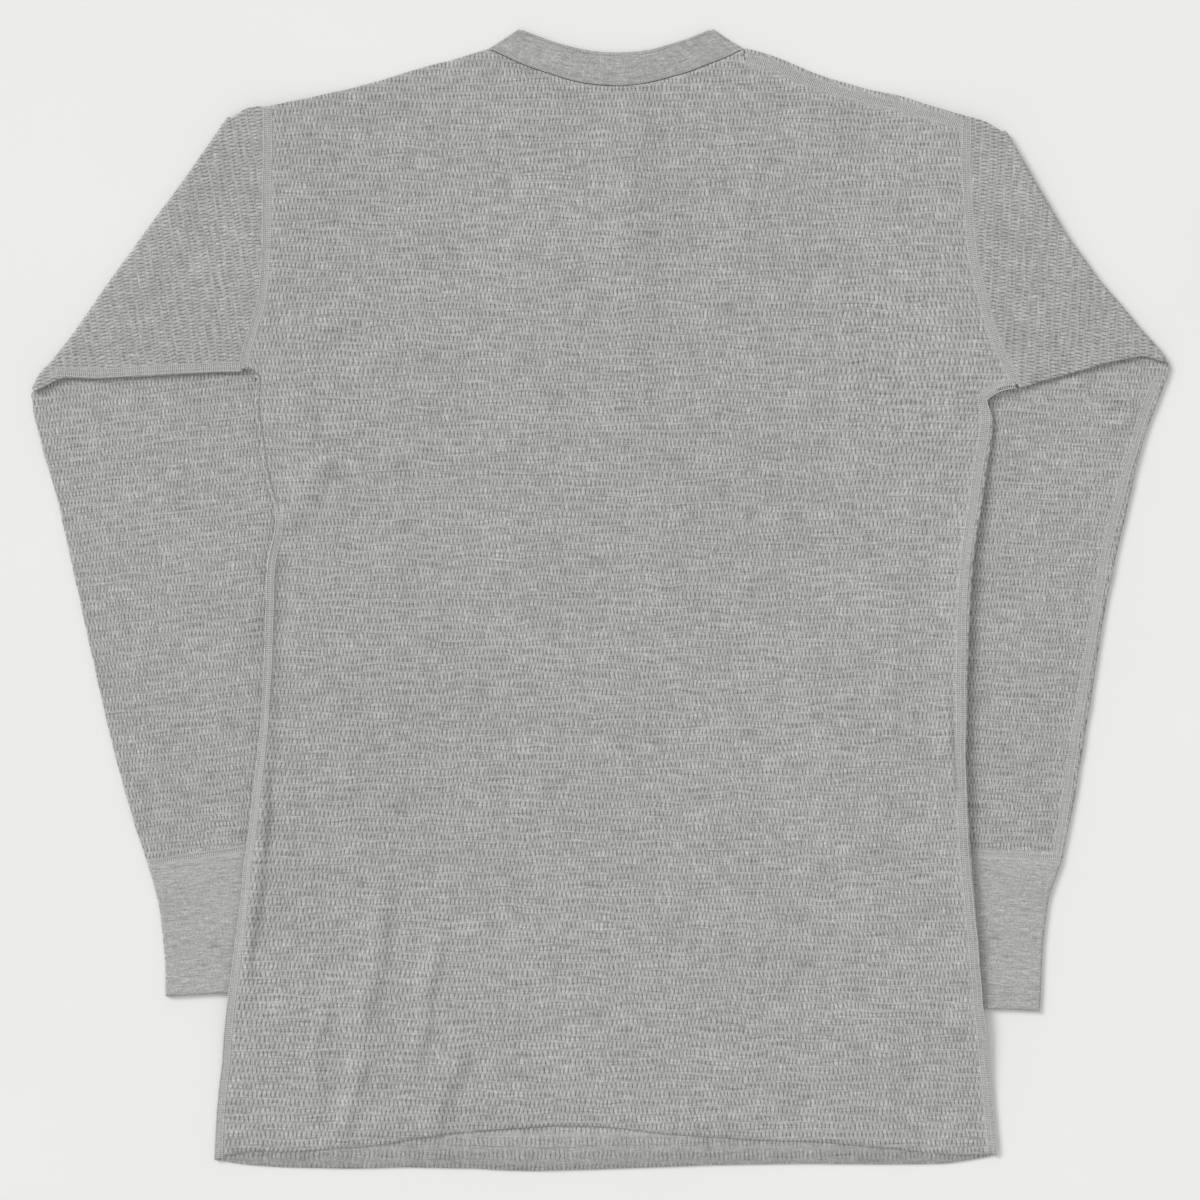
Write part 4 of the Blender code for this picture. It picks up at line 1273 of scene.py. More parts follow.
def frontPanel():
    shell = Shell(flip=True)
    # the middle rests flat, so its loops are left to the bump and its columns lie further apart
    loops, fineLoops = bodySizes["loops"], bodySizes["sideLoops"]
    near = np.arange(2 * fineLoops) / 2
    far = np.linspace(fineLoops, loops - fineLoops, (loops - 2 * fineLoops) // 2 + 1)
    share = np.concatenate([near, far, (loops - near)[::-1]]) / loops
    share = atNeckCorners(share, (neck["cornerLoops"], neck["cornerLoops"]))
    x, y, uv = panelGrid(False, frontTop, frontHem, share, bodySizes["frontFade"])
    # the front follows the creases beside its edges, and only a little further in
    least, start, span = bodySizes["frontFollow"]
    fromSide = np.minimum(x - x[:, :1], x[:, -1:] - x)
    follow = least + (1 - least) * (1 - smoothstep((fromSide - start) / span))
    z = lowLevel + raisedBy(x, y, frontReach(y)) + follow * ridgeHeight(x, y, creases)
    relief = loopHeight(uv[..., 0], uv[..., 1], bodyLoop)
    inward = np.minimum(share, 1 - share) * loops / fineLoops
    resting = smoothstep(2 * inward - 1)[None, :]
    relief = relief * (1 - resting) + bodySizes["restingHeight"] * resting
    ids = shell.add(np.stack([x, y, z], axis=2), relief).reshape(x.shape)
    step = bodySizes["innerSkip"]
    corner = int(np.argmin(np.abs(x[-1] - neckCorner(1))))
    sides = {}
    for side in (-1, 1):
        _, ends, ways, seams = sideChain(side, False)
        column = 0 if side < 0 else -1
        count = int(np.searchsorted(y[:, column], ends[-1, 1]))
        sides[side] = (ends, ways, seams, column, count)
    rows = np.unique(np.concatenate(
        [skipped(x.shape[0], step)] + [[sides[s][4] - 1] for s in (-1, 1)]))
    columns = np.unique(np.append(skipped(x.shape[1], step // 2), corner))
    shell.addGrid(ids, uv, (rows, columns))
    for side, (ends, ways, seams, column, count) in sides.items():
        rowY = y[:count, column]
        way = unit(np.stack([np.interp(rowY, ends[:, 1], ways[:, k]) for k in (0, 1)], axis=1))
        width = np.interp(rowY, ends[:, 1], seams)
        start = np.stack([x[:count, column], rowY], axis=1)
        stop = start + way * (edge - width)[:, None]
        stop[0, 1] = rowY[0]
        grid, places = rollOver(shell, ids[:count, column], uv[:count, column], way, stop, True,
                                (float(side), 0.0))
        grid, places = grid[::side].T, places[::side].transpose(1, 0, 2)
        shell.addGrid(grid, places, (rows[rows < count], np.arange(grid.shape[1])))
    grid, places = rollShoulder(shell, ids[-1, corner:], uv[-1, corner:], x[-1, corner:], True)
    shell.addGrid(grid, places, (np.arange(len(grid)), columns[columns >= corner] - corner))
    return shell.build("frontPanel", "bodyKnit", "knitInside", bodySizes["reliefDepth"])


# Sleeves and cuffs
sleeveSizes = {
    "upperRows": 64,
    "foreRows": 196,
    "cuffRows": 40,
    "stations": 160,
    "innerStep": 7,
    "cuffInnerStep": 5,
    "innerPoints": 12,
    "innerArc": (0, 2, 4, 6, 8),
    "reliefDepth": 0.42,
    "endMargin": 0.45,
    "underPlace": 4000.0,
    "cuffMesh": (3.4, 3.4),
    "upperBand": 2.6,
    "foreBand": 2.4,
    "lineEnds": (0.01, 0.99),
    "joinPoints": 40,
    "underPoints": 50,
    "underEnd": (-355.0, 144.5),
    "underShift": 3.6,
    "forePoints": 90,
    "foreLine": ((361.0, 141.0), (355.9, 129.4), (346.8, 101.4), (338.3, 70.9), (327.9, 30.6),
                 (323.4, 1.3), (312.6, -63.0), (302.6, -126.0), (296.5, -166.0)),
}


def coonsRow(start, stop, firstEdge, lastEdge, share, stations):
    # the points across a sleeve at this share of the way from one end to the other
    first, last = alongCurve(firstEdge, share)[0], alongCurve(lastEdge, share)[0]
    s = stations[:, None]
    blend = (1 - share) * start + share * stop
    ends = (1 - s) * first + s * last
    corners = (1 - share) * ((1 - s) * start[0] + s * start[-1])
    corners = corners + share * ((1 - s) * stop[0] + s * stop[-1])
    return blend + ends - corners


def ringOf(shell, section, level, up, frame, loop, relief=True, seamOf=None, ridges=(),
           shift=(0.0, 0.0)):
    # a flattened tube's section: one wall, an edge, the other wall and the other edge.
    # The section reaches the tube's edges, and the walls end where the edges start to turn.
    across, along = frame
    line = section.copy()
    line[0] = line[0] + edge * unit(section[3] - section[0])
    line[-1] = line[-1] + edge * unit(section[-4] - section[-1])
    u = line @ across
    order = np.argsort(u)
    step, margin = loop[0] / 2, sleeveSizes["endMargin"]
    first, last = math.ceil((u[0] + margin) / step), math.floor((u[-1] - margin) / step)
    keys = np.concatenate([[u[0]], np.arange(first, last + 1) * step, [u[-1]]])
    flat = np.stack([np.interp(keys, u[order], line[order, k]) for k in (0, 1)], axis=1)
    base = np.column_stack([flat, np.full(len(flat), level)])
    arcs = np.linspace(0, halfTurn, cloth["arcSteps"] + 1)
    outFirst = np.array([*unit(line[0] - line[3]), 0.0])
    outLast = np.array([*unit(line[-1] - line[-4]), 0.0])
    v = flat @ along
    n = len(keys)
    # per part: points, places and keys; the arcs' first and last points belong to the walls
    parts = [
        (base + roll * up, np.stack([keys, v], 1), keys),
        (base[-1] + roll * (np.outer(np.sin(arcs), outLast) + np.outer(np.cos(arcs), up)),
         np.stack([keys[-1] + roll * arcs, np.full(len(arcs), v[-1])], 1), arcs),
        (base[::-1] - roll * up,
         np.stack([sleeveSizes["underPlace"] - keys[::-1], v[::-1]], 1), -keys[::-1]),
        (base[0] + roll * (np.outer(np.sin(arcs), outFirst) - np.outer(np.cos(arcs), up)),
         np.stack([keys[0] - roll * arcs[::-1], np.full(len(arcs), v[0])], 1), arcs),
    ]
    parts = [(spots, place + (shift if k != 2 else (-shift[0], shift[1])), key)
             for k, (spots, place, key) in enumerate(parts)]
    points = np.concatenate([parts[0][0], parts[1][0][1:-1], parts[2][0], parts[3][0][1:-1]])
    places = np.concatenate([parts[0][1], parts[1][1][1:-1], parts[2][1], parts[3][1][1:-1]])
    if ridges:
        lift = ridgeHeight(points[:, 0], points[:, 1], ridges)
        points[:, 2] += lift * np.clip((points[:, 2] - level) / roll, 0, 1)
    height = loopHeight(places[:, 0], places[:, 1], loop) if relief else None
    seam = None if seamOf is None else seamOf(points)
    ids = shell.add(points, height, seam)
    m = len(arcs) - 2
    idsOf = [ids[:n], ids[n - 1:n + m + 1], ids[n + m:2 * n + m],
             np.append(ids[2 * n + m - 1:], ids[0])]
    return [(part, place, key) for part, (_, place, key) in zip(idsOf, parts)]


def reframed(ring, flatPoints, frame):
    # the same ring read in another frame, for the patch on its other side
    across, along = frame
    out = []
    for k, (ids, _, keys) in enumerate(ring):
        spots = flatPoints[ids][:, :2]
        u, v = spots @ across, spots @ along
        place, key = (
            (u, u),
            (u[0] + roll * keys, keys),
            (sleeveSizes["underPlace"] - u, -u),
            (u[-1] - roll * keys[::-1], keys),
        )[k]
        out.append((ids, np.stack([place, v], 1), key))
    return out


def joinRings(shell, rings):
    # parts 0 and 2 of a ring are its walls, and 1 and 3 its edges
    for first, second in zip(rings, rings[1:]):
        for k, (before, after) in enumerate(zip(first, second)):
            if k in (0, 2):
                shell.zipRows(before, after)
            else:
                shell.addGrid(np.array([before[0], after[0]]), np.array([before[1], after[1]]))


def innerRings(shell, rings, kept):
    # the inner wall, on the kept rings and on some of their points
    shares = np.linspace(0, 1, sleeveSizes["innerPoints"])
    arcPicks = np.array(sleeveSizes["innerArc"])
    lines, places = [], []
    for r in kept:
        ids, spots = [], []
        for k, (part, place, _) in enumerate(rings[r]):
            picks = np.round(shares * (len(part) - 1)).astype(int) if k in (0, 2) else arcPicks
            picks = picks[1:] if k else picks
            ids += part[picks].tolist()
            spots += place[picks].tolist()
        lines.append(ids)
        places.append(spots)
    shell.inner.append(quads(np.array(lines)).reshape(-1, 4))
    shell.innerCorners.append(quads(np.array(places)).reshape(-1, 4, 2))


def frameOf(wale, firstPoint, lastPoint):
    # the ways across and along a tube's knit
    along = unit(wale)
    across = np.array([-along[1], along[0]])
    if (np.array(lastPoint) - np.array(firstPoint)) @ across < 0:
        across = -across
    return across, along


def seamBandAbove(names, halfWidth, level):
    # how far each point of a section lies in these seams' bands, on its upper wall alone
    def band(points):
        x, y = points[:, 0], points[:, 1]
        near = np.max([nearLine(x, y, seamLines[name], halfWidth) for name in names], axis=0)
        return near * (points[:, 2] > level)

    return band


def sleeveSections(side):
    sizes = sleeveTables[side]
    stations = np.linspace(0, 1, sleeveSizes["stations"])
    hole = [(x, y) for y, x in armholeTable(sizes["sign"])][::-1]
    holeY = alongCurve(hole, stations)[:, 1]
    armhole = np.stack([readCurve(armholeTable(sizes["sign"]), holeY)
                        + sizes["sign"] * cloth["seamGap"] / 2, holeY], axis=1)
    fold = alongCurve(sizes["fold"], stations)
    run = unit(np.array(sizes["fold"][-1]) - np.array(sizes["fold"][0]))
    out = sizes["sign"] * np.array([-run[1], run[0]])
    fold = fold - (foldRadius + tubeDepth / 2) * out
    join = np.outer(1 - stations, sizes["join"][0]) + np.outer(stations, sizes["join"][1])
    end = np.outer(1 - stations, sizes["cuffEnd"][0]) + np.outer(stations, sizes["cuffEnd"][1])
    return stations, armhole, fold, join, end, out


def sleeve(side):
    sizes = sleeveTables[side]
    shell = Shell(flip=side == "left")
    stations, armhole, fold, join, _, out = sleeveSections(side)
    join = join + (0.0, cloth["cuffGap"] / 2)
    over = [armhole[0], *sizes["over"][1:], fold[0]]
    under = [armhole[-1], *sizes["under"][1:], fold[-1]]
    upperLevel, foreLevel = forearmLift + tubeDepth / 2, tubeDepth / 2
    upperFrame = frameOf(sizes["upperWale"], armhole[0], armhole[-1])
    foreFrame = frameOf(sizes["foreWale"], fold[0], fold[-1])
    name = side.capitalize()
    # the left underarm seam shows on the upper sleeve, and the right one on the forearm
    upperNames = ["armhole" + name] + ["underLeft"] * (side == "left")
    foreNames = ["join" + name] + ["foreRight"] * (side == "right")
    upperSeam = seamBandAbove(upperNames, sleeveSizes["upperBand"], upperLevel)
    foreSeam = seamBandAbove(foreNames, sleeveSizes["foreBand"], foreLevel)
    upper = []
    for share in np.linspace(0, 1, sleeveSizes["upperRows"] + 1):
        row = coonsRow(armhole, fold, over, under, share, stations)
        upper.append(ringOf(shell, row, upperLevel, upward, upperFrame, sleeveLoop,
                            seamOf=upperSeam, ridges=upperCreases))
    bends = [upper[-1]]
    for step in range(1, cloth["foldSteps"] + 1):
        turn = halfTurn * step / cloth["foldSteps"]
        up = np.array([*(out * math.sin(turn)), math.cos(turn)])
        drift = (foldRadius + roll) * turn * np.array([out @ upperFrame[0], out @ upperFrame[1]])
        bends.append(ringOf(shell, fold, 0.0, up, upperFrame, sleeveLoop, shift=drift))
        shell.points[-1] = shell.points[-1] + (*(foldRadius * math.sin(turn) * out),
                                               foreLevel + foldRadius * (1 + math.cos(turn)))
    points = np.concatenate(shell.points)
    fore = [reframed(bends[-1], points, foreFrame)]
    inner = [fold[0], *sizes["inner"], join[0]]
    outer = [fold[-1], *sizes["outer"], join[-1]]
    for share in np.linspace(0, 1, sleeveSizes["foreRows"] + 1)[1:]:
        row = coonsRow(fold, join, inner, outer, share, stations)
        fore.append(ringOf(shell, row, foreLevel, downward, foreFrame, sleeveLoop,
                           seamOf=foreSeam, ridges=foreCreases))
    for rings, step in ((upper, sleeveSizes["innerStep"]), (bends, 1),
                        (fore, sleeveSizes["innerStep"])):
        joinRings(shell, rings)
        innerRings(shell, rings, skipped(len(rings), step))
    return shell.build("sleeve" + name, "sleeveKnit", "knitInside", sleeveSizes["reliefDepth"])


def cuff(side):
    sizes = sleeveTables[side]
    shell = Shell(flip=side == "left")
    stations, _, _, join, end, _ = sleeveSections(side)
    join = join - (0.0, cloth["cuffGap"] / 2)
    inner = [join[0], *sizes["cuffInner"], end[0]]
    outer = [join[-1], *sizes["cuffOuter"], end[-1]]
    frameHere = frameOf(sizes["cuffWale"], join[0], join[-1])
    name, level = side.capitalize(), tubeDepth / 2
    cuffSeam = seamBandAbove(["join" + name], sleeveSizes["foreBand"], level)
    rings = []
    for share in np.linspace(0, 1, sleeveSizes["cuffRows"] + 1):
        row = coonsRow(join, end, inner, outer, share, stations)
        rings.append(ringOf(shell, row, level, downward, frameHere, sleeveSizes["cuffMesh"],
                            relief=False, seamOf=cuffSeam))
    joinRings(shell, rings)
    innerRings(shell, rings, skipped(len(rings), sleeveSizes["cuffInnerStep"]))
    return shell.build("cuff" + name, "jerseyKnit", "jerseyKnit")


def addSleeveLines():
    first, last = sleeveSizes["lineEnds"]
    for side, sizes in sleeveTables.items():
        shares = np.linspace(first, last, sleeveSizes["joinPoints"])[:, None]
        inner, outer = np.array(sizes["join"])
        seamLines["join" + side.capitalize()] = inner * (1 - shares) + outer * shares
    under = sleeveTables["left"]["under"][:-1] + (sleeveSizes["underEnd"],)
    under = alongCurve(under, np.linspace(first, last, sleeveSizes["underPoints"]))
    seamLines["underLeft"] = under + (0.0, sleeveSizes["underShift"])
    seamLines["foreRight"] = alongCurve(sleeveSizes["foreLine"],
                                        np.linspace(0, 1, sleeveSizes["forePoints"]))


addSleeveLines()


# The neckband, a closed ring of double cloth
def bandEdges(share, back):
    edges = []
    for halfWidth, top, backDrop, frontDrop in (neck["seam"], neck["free"]):
        if back:
            drop = backDrop * math.cos(halfTurn / 2 * share)
        else:
            drop = frontDrop * math.sqrt(max(1.0 - share**2, 0.0))
        edges.append(np.array([neck["middle"] + halfWidth * share, top - drop]))
    return edges


def neckband():
    count = neck["sections"]
    half = cloth["wall"] / 2
    shares = np.sin(halfTurn / 2 * np.linspace(-1, 1, count + 1))[1:-1]

    def outwards(share):
        seam, free = bandEdges(share, True)
        run = unit(free - seam)
        return np.array([-run[1], run[0]]) if share < 0 else np.array([run[1], -run[0]])

    def clear(share, back):
        # true where a section lies inside the bend at the band's end
        end = math.copysign(1.0, share)
        pairs = zip(bandEdges(end, back), bandEdges(share, back))
        needed = edge + neck["bendClear"]
        return all((last - here) @ outwards(end) > needed for last, here in pairs)

    def stretch(chosen, back, level, up):
        # seam point, free point and the way up, for each section of the back or the front
        found = []
        for share in [s for s in chosen if clear(s, back)]:
            seam, free = bandEdges(share, back)
            found.append((np.array([*seam, level]), np.array([*free, level]), up))
        return found

    def bend(share, angles):
        seam, free = bandEdges(share, True)
        out = outwards(share)
        level = (lowLevel + highLevel) / 2
        found = []
        for angle in angles:
            up = np.array([*(math.sin(angle) * out), math.cos(angle)])
            ends = [np.array([*(p - edge * out), level]) + roll * up for p in (seam, free)]
            found.append((*ends, up))
        return found

    turns = np.linspace(0, halfTurn, cloth["arcSteps"] + 1)
    sections = stretch(shares, True, highLevel, upward) + bend(1.0, turns)
    sections += stretch(shares[::-1], False, lowLevel, downward) + bend(-1.0, turns[::-1])
    arc = np.linspace(0, halfTurn, neck["arcSteps"] + 1)[1:-1]
    flat = np.linspace(0, 1, neck["across"])
    start, stop = half * neck["seamRound"], half * neck["freeRound"]
    rounds = half * (neck["seamRound"] + neck["freeRound"])
    rows, offs, lengths = [], [], []
    travelled, last = 0.0, None
    for seam, free, up in sections:
        wide = np.linalg.norm(free - seam)
        run = (free - seam) / wide
        profile = [(start + t * (wide - rounds), half) for t in flat]
        profile += [(wide - stop + stop * math.sin(a), half * math.cos(a)) for a in arc]
        profile += [(start + t * (wide - rounds), -half) for t in flat[::-1]]
        profile += [(start - start * math.sin(a), -half * math.cos(a)) for a in arc]
        middle = (seam + free) / 2
        if last is not None:
            travelled += np.linalg.norm(middle - last)
        last = middle
        lengths.append(travelled)
        rows.append([seam + run * a + up * b for a, b in profile])
        offs.append([a for a, _ in profile])
    count, around = len(rows), len(rows[0])
    faces, places = [], []
    for i in range(count):
        j = (i + 1) % count
        far = lengths[j] if j else lengths[-1] + 1.0
        for k in range(around):
            m = (k + 1) % around
            faces.append([i * around + k, j * around + k, j * around + m, i * around + m])
            places += [(lengths[i], offs[i][k]), (far, offs[j][k]),
                       (far, offs[j][m]), (lengths[i], offs[i][m])]
    return makeMesh("neckBand", np.concatenate(rows), faces, places,
                    np.zeros(count * around), ["bandKnit"], [0] * len(faces))


# Where the rows of stitches on the neckband and the front's hem lie
rowSizes = {
    "bandReach": 0.90,
    "bandPoints": 80,
    "fromSeam": 1.9,
    "fromFree": 2.1,
    "hemSpan": (-96.0, 168.0),
    "hemPoints": 90,
    "hemDepth": 15.0,
    "hemClear": 2.0,
}


def addStitchRows():
    reach = rowSizes["bandReach"]
    seamRow, freeRow = [], []
    for share in np.linspace(-reach, reach, rowSizes["bandPoints"]):
        seam, free = bandEdges(share, True)
        run = unit(free - seam)
        seamRow.append(seam + rowSizes["fromSeam"] * run)
        freeRow.append(free - rowSizes["fromFree"] * run)
    seamLines["bandSeam"], seamLines["bandTop"] = np.array(seamRow), np.array(freeRow)
    x = np.linspace(*rowSizes["hemSpan"], rowSizes["hemPoints"])
    y = readCurve(frontHem, x) + rowSizes["hemDepth"]
    shown = y < readCurve(backHem, x) - rowSizes["hemClear"]
    seamLines["hem"] = np.stack([x, y], axis=1)[shown]


addStitchRows()

pieces = {"back": backPanel(), "front": frontPanel()}
print("stage: body panels")
for side in ("left", "right"):
    pieces["sleeve" + side.capitalize()] = sleeve(side)
    pieces["cuff" + side.capitalize()] = cuff(side)
print("stage: sleeves and cuffs")
pieces["neckband"] = neckband()
print("stage: neckband")


# Kinds of stitch, in millimetres: "ladder" is a flat seam's, with a row of filling under it
stitchSizes = {
    "ladder": {"pitch": 1.25, "radius": 0.31, "arch": 0.52, "slant": 0.20, "fillRadius": 0.66,
               "fillSink": 0.36, "thread": "seamThread"},
    "narrow": {"pitch": 1.6, "radius": 0.20, "arch": 0.34, "slant": 0.35, "fillRadius": 0.12,
               "fillSink": 0.36, "thread": "fillThread"},
    "needle": {"pitch": 2.2, "radius": 0.17, "arch": 0.40, "slant": 0.85, "fillRadius": 0.10,
               "fillSink": 0.36, "thread": "fillThread"},
    "join": {"pitch": 2.4, "radius": 0.45, "arch": 0.10, "slant": 1.0, "fillRadius": 0.62,
             "fillSink": 0.30, "thread": "fillThread"},
}
# What all kinds share: where the rails run as a share of the band, the turn of each stitch
# in radians, how deep a line of stitches lies, and how its threads are drawn
stitchForm = {
    "railShare": 0.45,
    "turn": 0.08,
    "lower": 0.16,
    "probe": 0.5,
    "sunk": -0.6,
    "railUp": 1.2,
    "sides": 4,
    "rungSteps": 4,
    "railSteps": 2,
}


def makeStitchTree():
    tree = bpy.data.node_groups.new("flatlockLadder", "GeometryNodeTree")
    tree.is_modifier = True
    tree.interface.new_socket("Geometry", in_out="INPUT", socket_type="NodeSocketGeometry")
    for label in ("Band width", "Pitch", "Thread radius", "Arch", "Slant", "Jitter",
                  "Rail place", "Fill radius", "Fill sink"):
        tree.interface.new_socket(label, in_out="INPUT", socket_type="NodeSocketFloat")
    tree.interface.new_socket("Seed", in_out="INPUT", socket_type="NodeSocketInt")
    tree.interface.new_socket("Thread", in_out="INPUT", socket_type="NodeSocketMaterial")
    tree.interface.new_socket("Geometry", in_out="OUTPUT", socket_type="NodeSocketGeometry")
    start, end = tree.nodes.new("NodeGroupInput"), tree.nodes.new("NodeGroupOutput")

    def sum3(*parts):
        node = tree.nodes.new("ShaderNodeCombineXYZ")
        for socket, part in zip(node.inputs, parts):
            feed(tree, socket, part)
        return node.outputs[0]

    def times(label, factor):
        return maths(tree, "MULTIPLY", value[label], factor)

    value = {socket.name: socket for socket in start.outputs}
    halfBand, minusHalf = times("Band width", 0.5), times("Band width", -0.5)
    halfPitch, minusPitch = times("Pitch", 0.5), times("Pitch", -0.5)
    slant, minusSlant = value["Slant"], times("Slant", -1.0)
    rail, minusRail = value["Rail place"], times("Rail place", -1.0)
    arch, railUp = value["Arch"], times("Arch", stitchForm["railUp"])
    sunk, deep = times("Thread radius", stitchForm["sunk"]), times("Fill sink", -1.0)
    rings = {}
    for label in ("Thread radius", "Fill radius"):
        rings[label] = tree.nodes.new("GeometryNodeCurvePrimitiveCircle")
        rings[label].inputs["Resolution"].default_value = stitchForm["sides"]
        tree.links.new(value[label], rings[label].inputs["Radius"])
    join = tree.nodes.new("GeometryNodeJoinGeometry")
    # a rung across the band, two rails along it and the filling
    rungSteps, railSteps = stitchForm["rungSteps"], stitchForm["railSteps"]
    lines = [
        (sum3(minusSlant, minusHalf, sunk), sum3(0.0, 0.0, arch),
         sum3(slant, halfBand, sunk), rungSteps, "Thread radius"),
        (sum3(minusPitch, minusRail, sunk), sum3(0.0, minusRail, railUp),
         sum3(halfPitch, minusRail, sunk), railSteps, "Thread radius"),
        (sum3(minusPitch, rail, sunk), sum3(0.0, rail, railUp),
         sum3(halfPitch, rail, sunk), railSteps, "Thread radius"),
        (sum3(minusPitch, 0.0, deep), sum3(0.0, 0.0, deep),
         sum3(halfPitch, 0.0, deep), railSteps, "Fill radius"),
    ]
    for first, middle, last, steps, radius in lines:
        line = tree.nodes.new("GeometryNodeCurveQuadraticBezier")
        line.inputs["Resolution"].default_value = steps
        tree.links.new(first, line.inputs["Start"])
        tree.links.new(middle, line.inputs["Middle"])
        tree.links.new(last, line.inputs["End"])
        tube = tree.nodes.new("GeometryNodeCurveToMesh")
        tube.inputs["Fill Caps"].default_value = True
        tree.links.new(line.outputs[0], tube.inputs["Curve"])
        tree.links.new(rings[radius].outputs[0], tube.inputs["Profile Curve"])
        tree.links.new(tube.outputs[0], join.inputs[0])
    axes = tree.nodes.new("FunctionNodeAxesToRotation")
    axes.primary_axis, axes.secondary_axis = "Z", "X"
    for label, socket in (("up", 0), ("along", 1)):
        named = tree.nodes.new("GeometryNodeInputNamedAttribute")
        named.data_type = "FLOAT_VECTOR"
        named.inputs["Name"].default_value = label
        tree.links.new(named.outputs["Attribute"], axes.inputs[socket])
    shake = tree.nodes.new("FunctionNodeRandomValue")
    tree.links.new(times("Jitter", -1.0), shake.inputs[2])
    tree.links.new(value["Jitter"], shake.inputs[3])
    tree.links.new(value["Seed"], shake.inputs["Seed"])
    turn = tree.nodes.new("FunctionNodeRotateRotation")
    turn.rotation_space = "LOCAL"
    tree.links.new(axes.outputs[0], turn.inputs[0])
    tree.links.new(sum3(0.0, 0.0, shake.outputs[1]), turn.inputs[1])
    place = tree.nodes.new("GeometryNodeInstanceOnPoints")
    tree.links.new(start.outputs["Geometry"], place.inputs["Points"])
    tree.links.new(join.outputs[0], place.inputs["Instance"])
    tree.links.new(turn.outputs[0], place.inputs["Rotation"])
    real = tree.nodes.new("GeometryNodeRealizeInstances")
    tree.links.new(place.outputs[0], real.inputs[0])
    paint = tree.nodes.new("GeometryNodeSetMaterial")
    tree.links.new(real.outputs[0], paint.inputs["Geometry"])
    tree.links.new(start.outputs["Thread"], paint.inputs["Material"])
    tree.links.new(paint.outputs[0], end.inputs[0])
    return tree


stitchTree = makeStitchTree()


def surfaceZ(x, y, where):
    # the height of the cloth that shows: on the back, a sleeve, the neckband or the low hem
    half = cloth["wall"] / 2
    if where == "back":
        return backZ(x, y) + half
    if where == "upper":
        return forearmLift + tubeDepth + ridgeHeight(x, y, upperCreases)
    if where == "fore":
        return tubeDepth + ridgeHeight(x, y, foreCreases)
    return np.full(np.shape(x), (highLevel if where == "band" else lowLevel) + half)


def stitched(name, line, where, bandWidth, kind, seed):
    # stitches of this kind along a line on the cloth
    sizes = stitchSizes[kind]
    z = surfaceZ(line[:, 0], line[:, 1], where) - stitchForm["lower"]
    path = np.column_stack([line, z])
    steps = np.linalg.norm(np.diff(path, axis=0), axis=1)
    lengths = np.concatenate([[0.0], np.cumsum(steps)])
    count = int(lengths[-1] / sizes["pitch"])
    marks = (np.arange(count) + 0.5) * lengths[-1] / count
    spots = np.stack([np.interp(marks, lengths, path[:, k]) for k in range(3)], axis=1)
    along = unit(np.gradient(spots, axis=0))
    rise, probe = [], stitchForm["probe"]
    for step in ((probe, 0.0), (0.0, probe)):
        ahead, behind = spots[:, :2] + step, spots[:, :2] - step
        rise.append(surfaceZ(*ahead.T, where) - surfaceZ(*behind.T, where))
    up = unit(np.stack([-rise[0], -rise[1], np.ones(len(spots))], axis=1))
    mesh = bpy.data.meshes.new(name + "Path")
    mesh.from_pydata(wandered(spots).tolist(), [], [])
    for label, values in (("along", along), ("up", up)):
        attribute = mesh.attributes.new(label, "FLOAT_VECTOR", "POINT")
        attribute.data.foreach_set("vector", values.astype(np.float32).ravel())
    holder = addObject(name + "Path", mesh)
    modifier = holder.modifiers.new("ladder", "NODES")
    modifier.node_group = stitchTree
    given = {
        "Band width": bandWidth * mm,
        "Pitch": sizes["pitch"] * mm,
        "Thread radius": sizes["radius"] * mm,
        "Arch": sizes["arch"] * mm,
        "Slant": sizes["slant"] * mm,
        "Jitter": stitchForm["turn"],
        "Rail place": bandWidth * stitchForm["railShare"] * mm,
        "Fill radius": sizes["fillRadius"] * mm,
        "Fill sink": sizes["fillSink"] * mm,
        "Seed": seed,
        "Thread": materials[sizes["thread"]],
    }
    for socket in stitchTree.interface.items_tree:
        if socket.in_out == "INPUT" and socket.name in given:
            modifier[socket.identifier] = given[socket.name]
    graph = bpy.context.evaluated_depsgraph_get()
    made = bpy.data.meshes.new_from_object(holder.evaluated_get(graph))
    made.name = name
    made.shade_smooth()
    bpy.data.objects.remove(holder)
    return addObject(name, made)


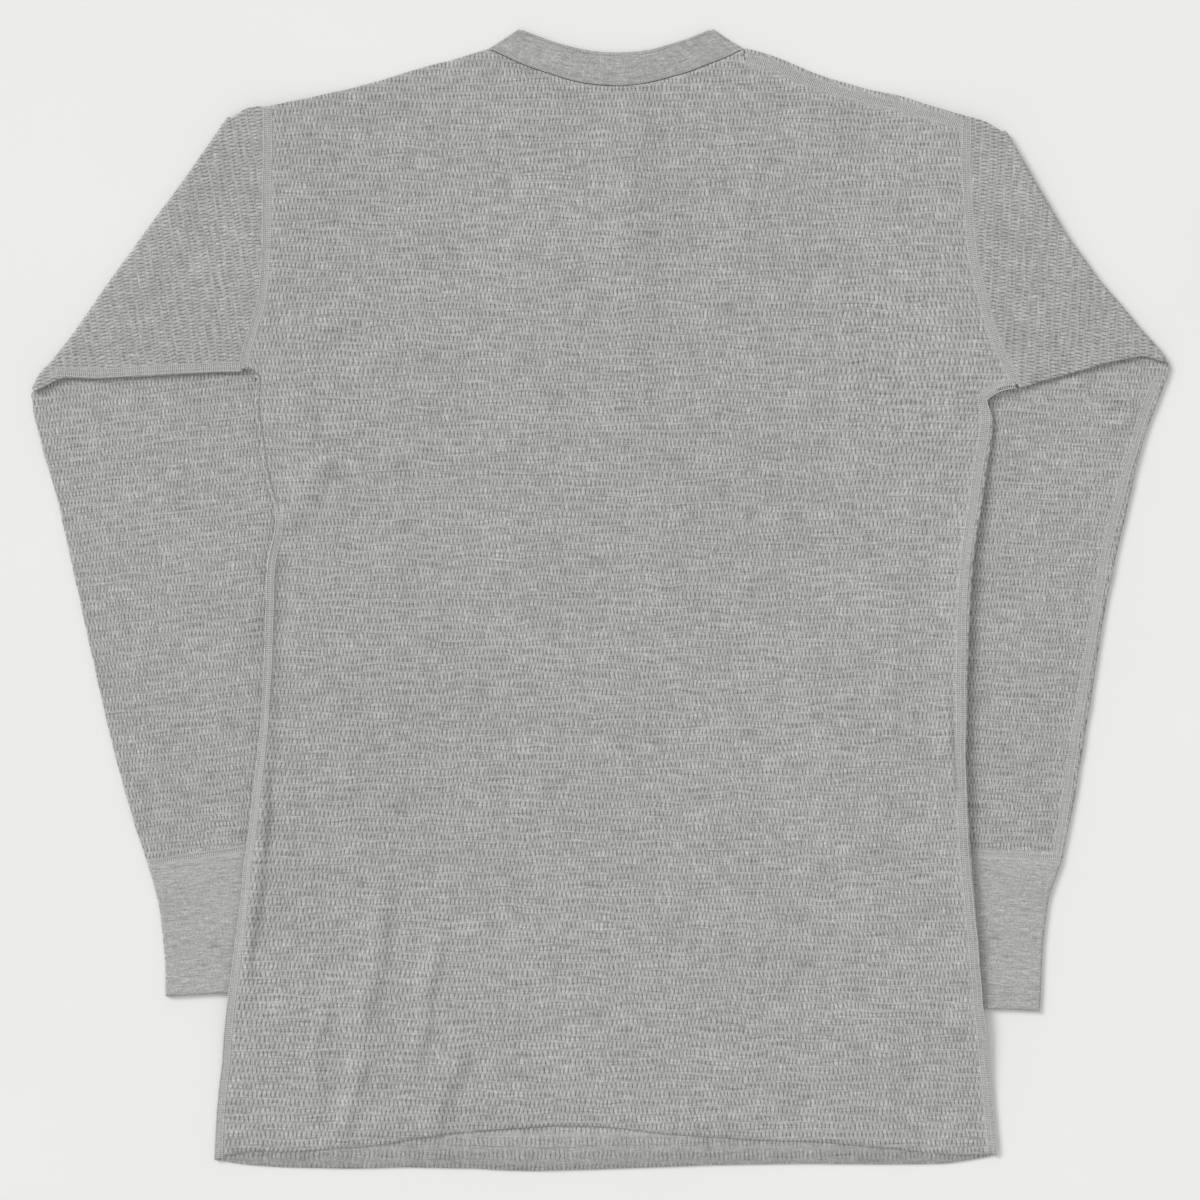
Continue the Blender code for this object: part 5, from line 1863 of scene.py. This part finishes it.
# Each line of stitches: its name, its way, the cloth it lies on, the width of its band, its
# kind and the piece that it is sewn to
seams = (
    ("shoulderSeam", "shoulder", "back", 6.0, "ladder", "back"),
    ("armholeSeamLeft", "armholeLeft", "back", 5.6, "ladder", "back"),
    ("armholeSeamRight", "armholeRight", "back", 5.8, "ladder", "back"),
    ("sideSeamLeft", "sideLeft", "back", 5.2, "ladder", "back"),
    ("sideSeamRight", "sideRight", "back", 6.0, "ladder", "back"),
    ("underarmSeamLeft", "underLeft", "upper", 5.6, "ladder", "sleeveLeft"),
    ("underarmSeamRight", "foreRight", "fore", 5.8, "ladder", "sleeveRight"),
    ("cuffSeamLeft", "joinLeft", "fore", 5.0, "ladder", "cuffLeft"),
    ("cuffSeamRight", "joinRight", "fore", 5.0, "ladder", "cuffRight"),
    ("sideJoinLeft", "sideLeftTop", "back", 0.0, "join", "back"),
    ("neckSeamStitch", "bandSeam", "band", 2.4, "narrow", "neckband"),
    ("neckTopStitch", "bandTop", "band", 0.0, "needle", "neckband"),
    ("hemStitch", "hem", "low", 0.0, "needle", "front"),
)
firstSeed = 11
seamPieces = {key: [] for key in pieces}
for k, (name, line, where, width, kind, holder) in enumerate(seams):
    made = stitched(name, seamLines[line], where, width, kind, firstSeed + k)
    seamPieces[holder].append(made)
print("stage: stitches")


# For each piece: the node it stands for, its slot, and the cut of its sheet in metres with
# its area, how it is held and what it rests on
cuts = {
    "back": ("back_panel", "thermal_knit", (0.51, 0.715), 0.335, "laid", ["frontPanel"]),
    "front": ("front_panel", "thermal_knit", (0.52, 0.73), 0.335, "laid",
              ["floor", "sleeveLeft", "sleeveRight"]),
    "sleeveLeft": ("sleeve_left", "thermal_knit", (0.36, 0.49), 0.137, "folded", ["floor"]),
    "sleeveRight": ("sleeve_right", "thermal_knit", (0.36, 0.49), 0.137, "folded", ["floor"]),
    "cuffLeft": ("cuff_left", "jersey", (0.225, 0.095), 0.019, "folded", ["floor"]),
    "cuffRight": ("cuff_right", "jersey", (0.225, 0.10), 0.020, "folded", ["floor"]),
    "neckband": ("neckband", "jersey", (0.46, 0.026), 0.0105, "laid", ["frontPanel"]),
}
for key, piece in pieces.items():
    node, slot, flat, area, held, rests = cuts[key]
    threads = seamPieces[key]
    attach(piece, "root")
    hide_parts(node)
    for thread in threads:
        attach(thread, "root")
    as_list(rests)
    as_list(threads)
    for made in (piece, *threads):
        triangles = sum(len(face.vertices) - 2 for face in made.data.polygons)
        print("piece", made.name, "triangles", triangles)
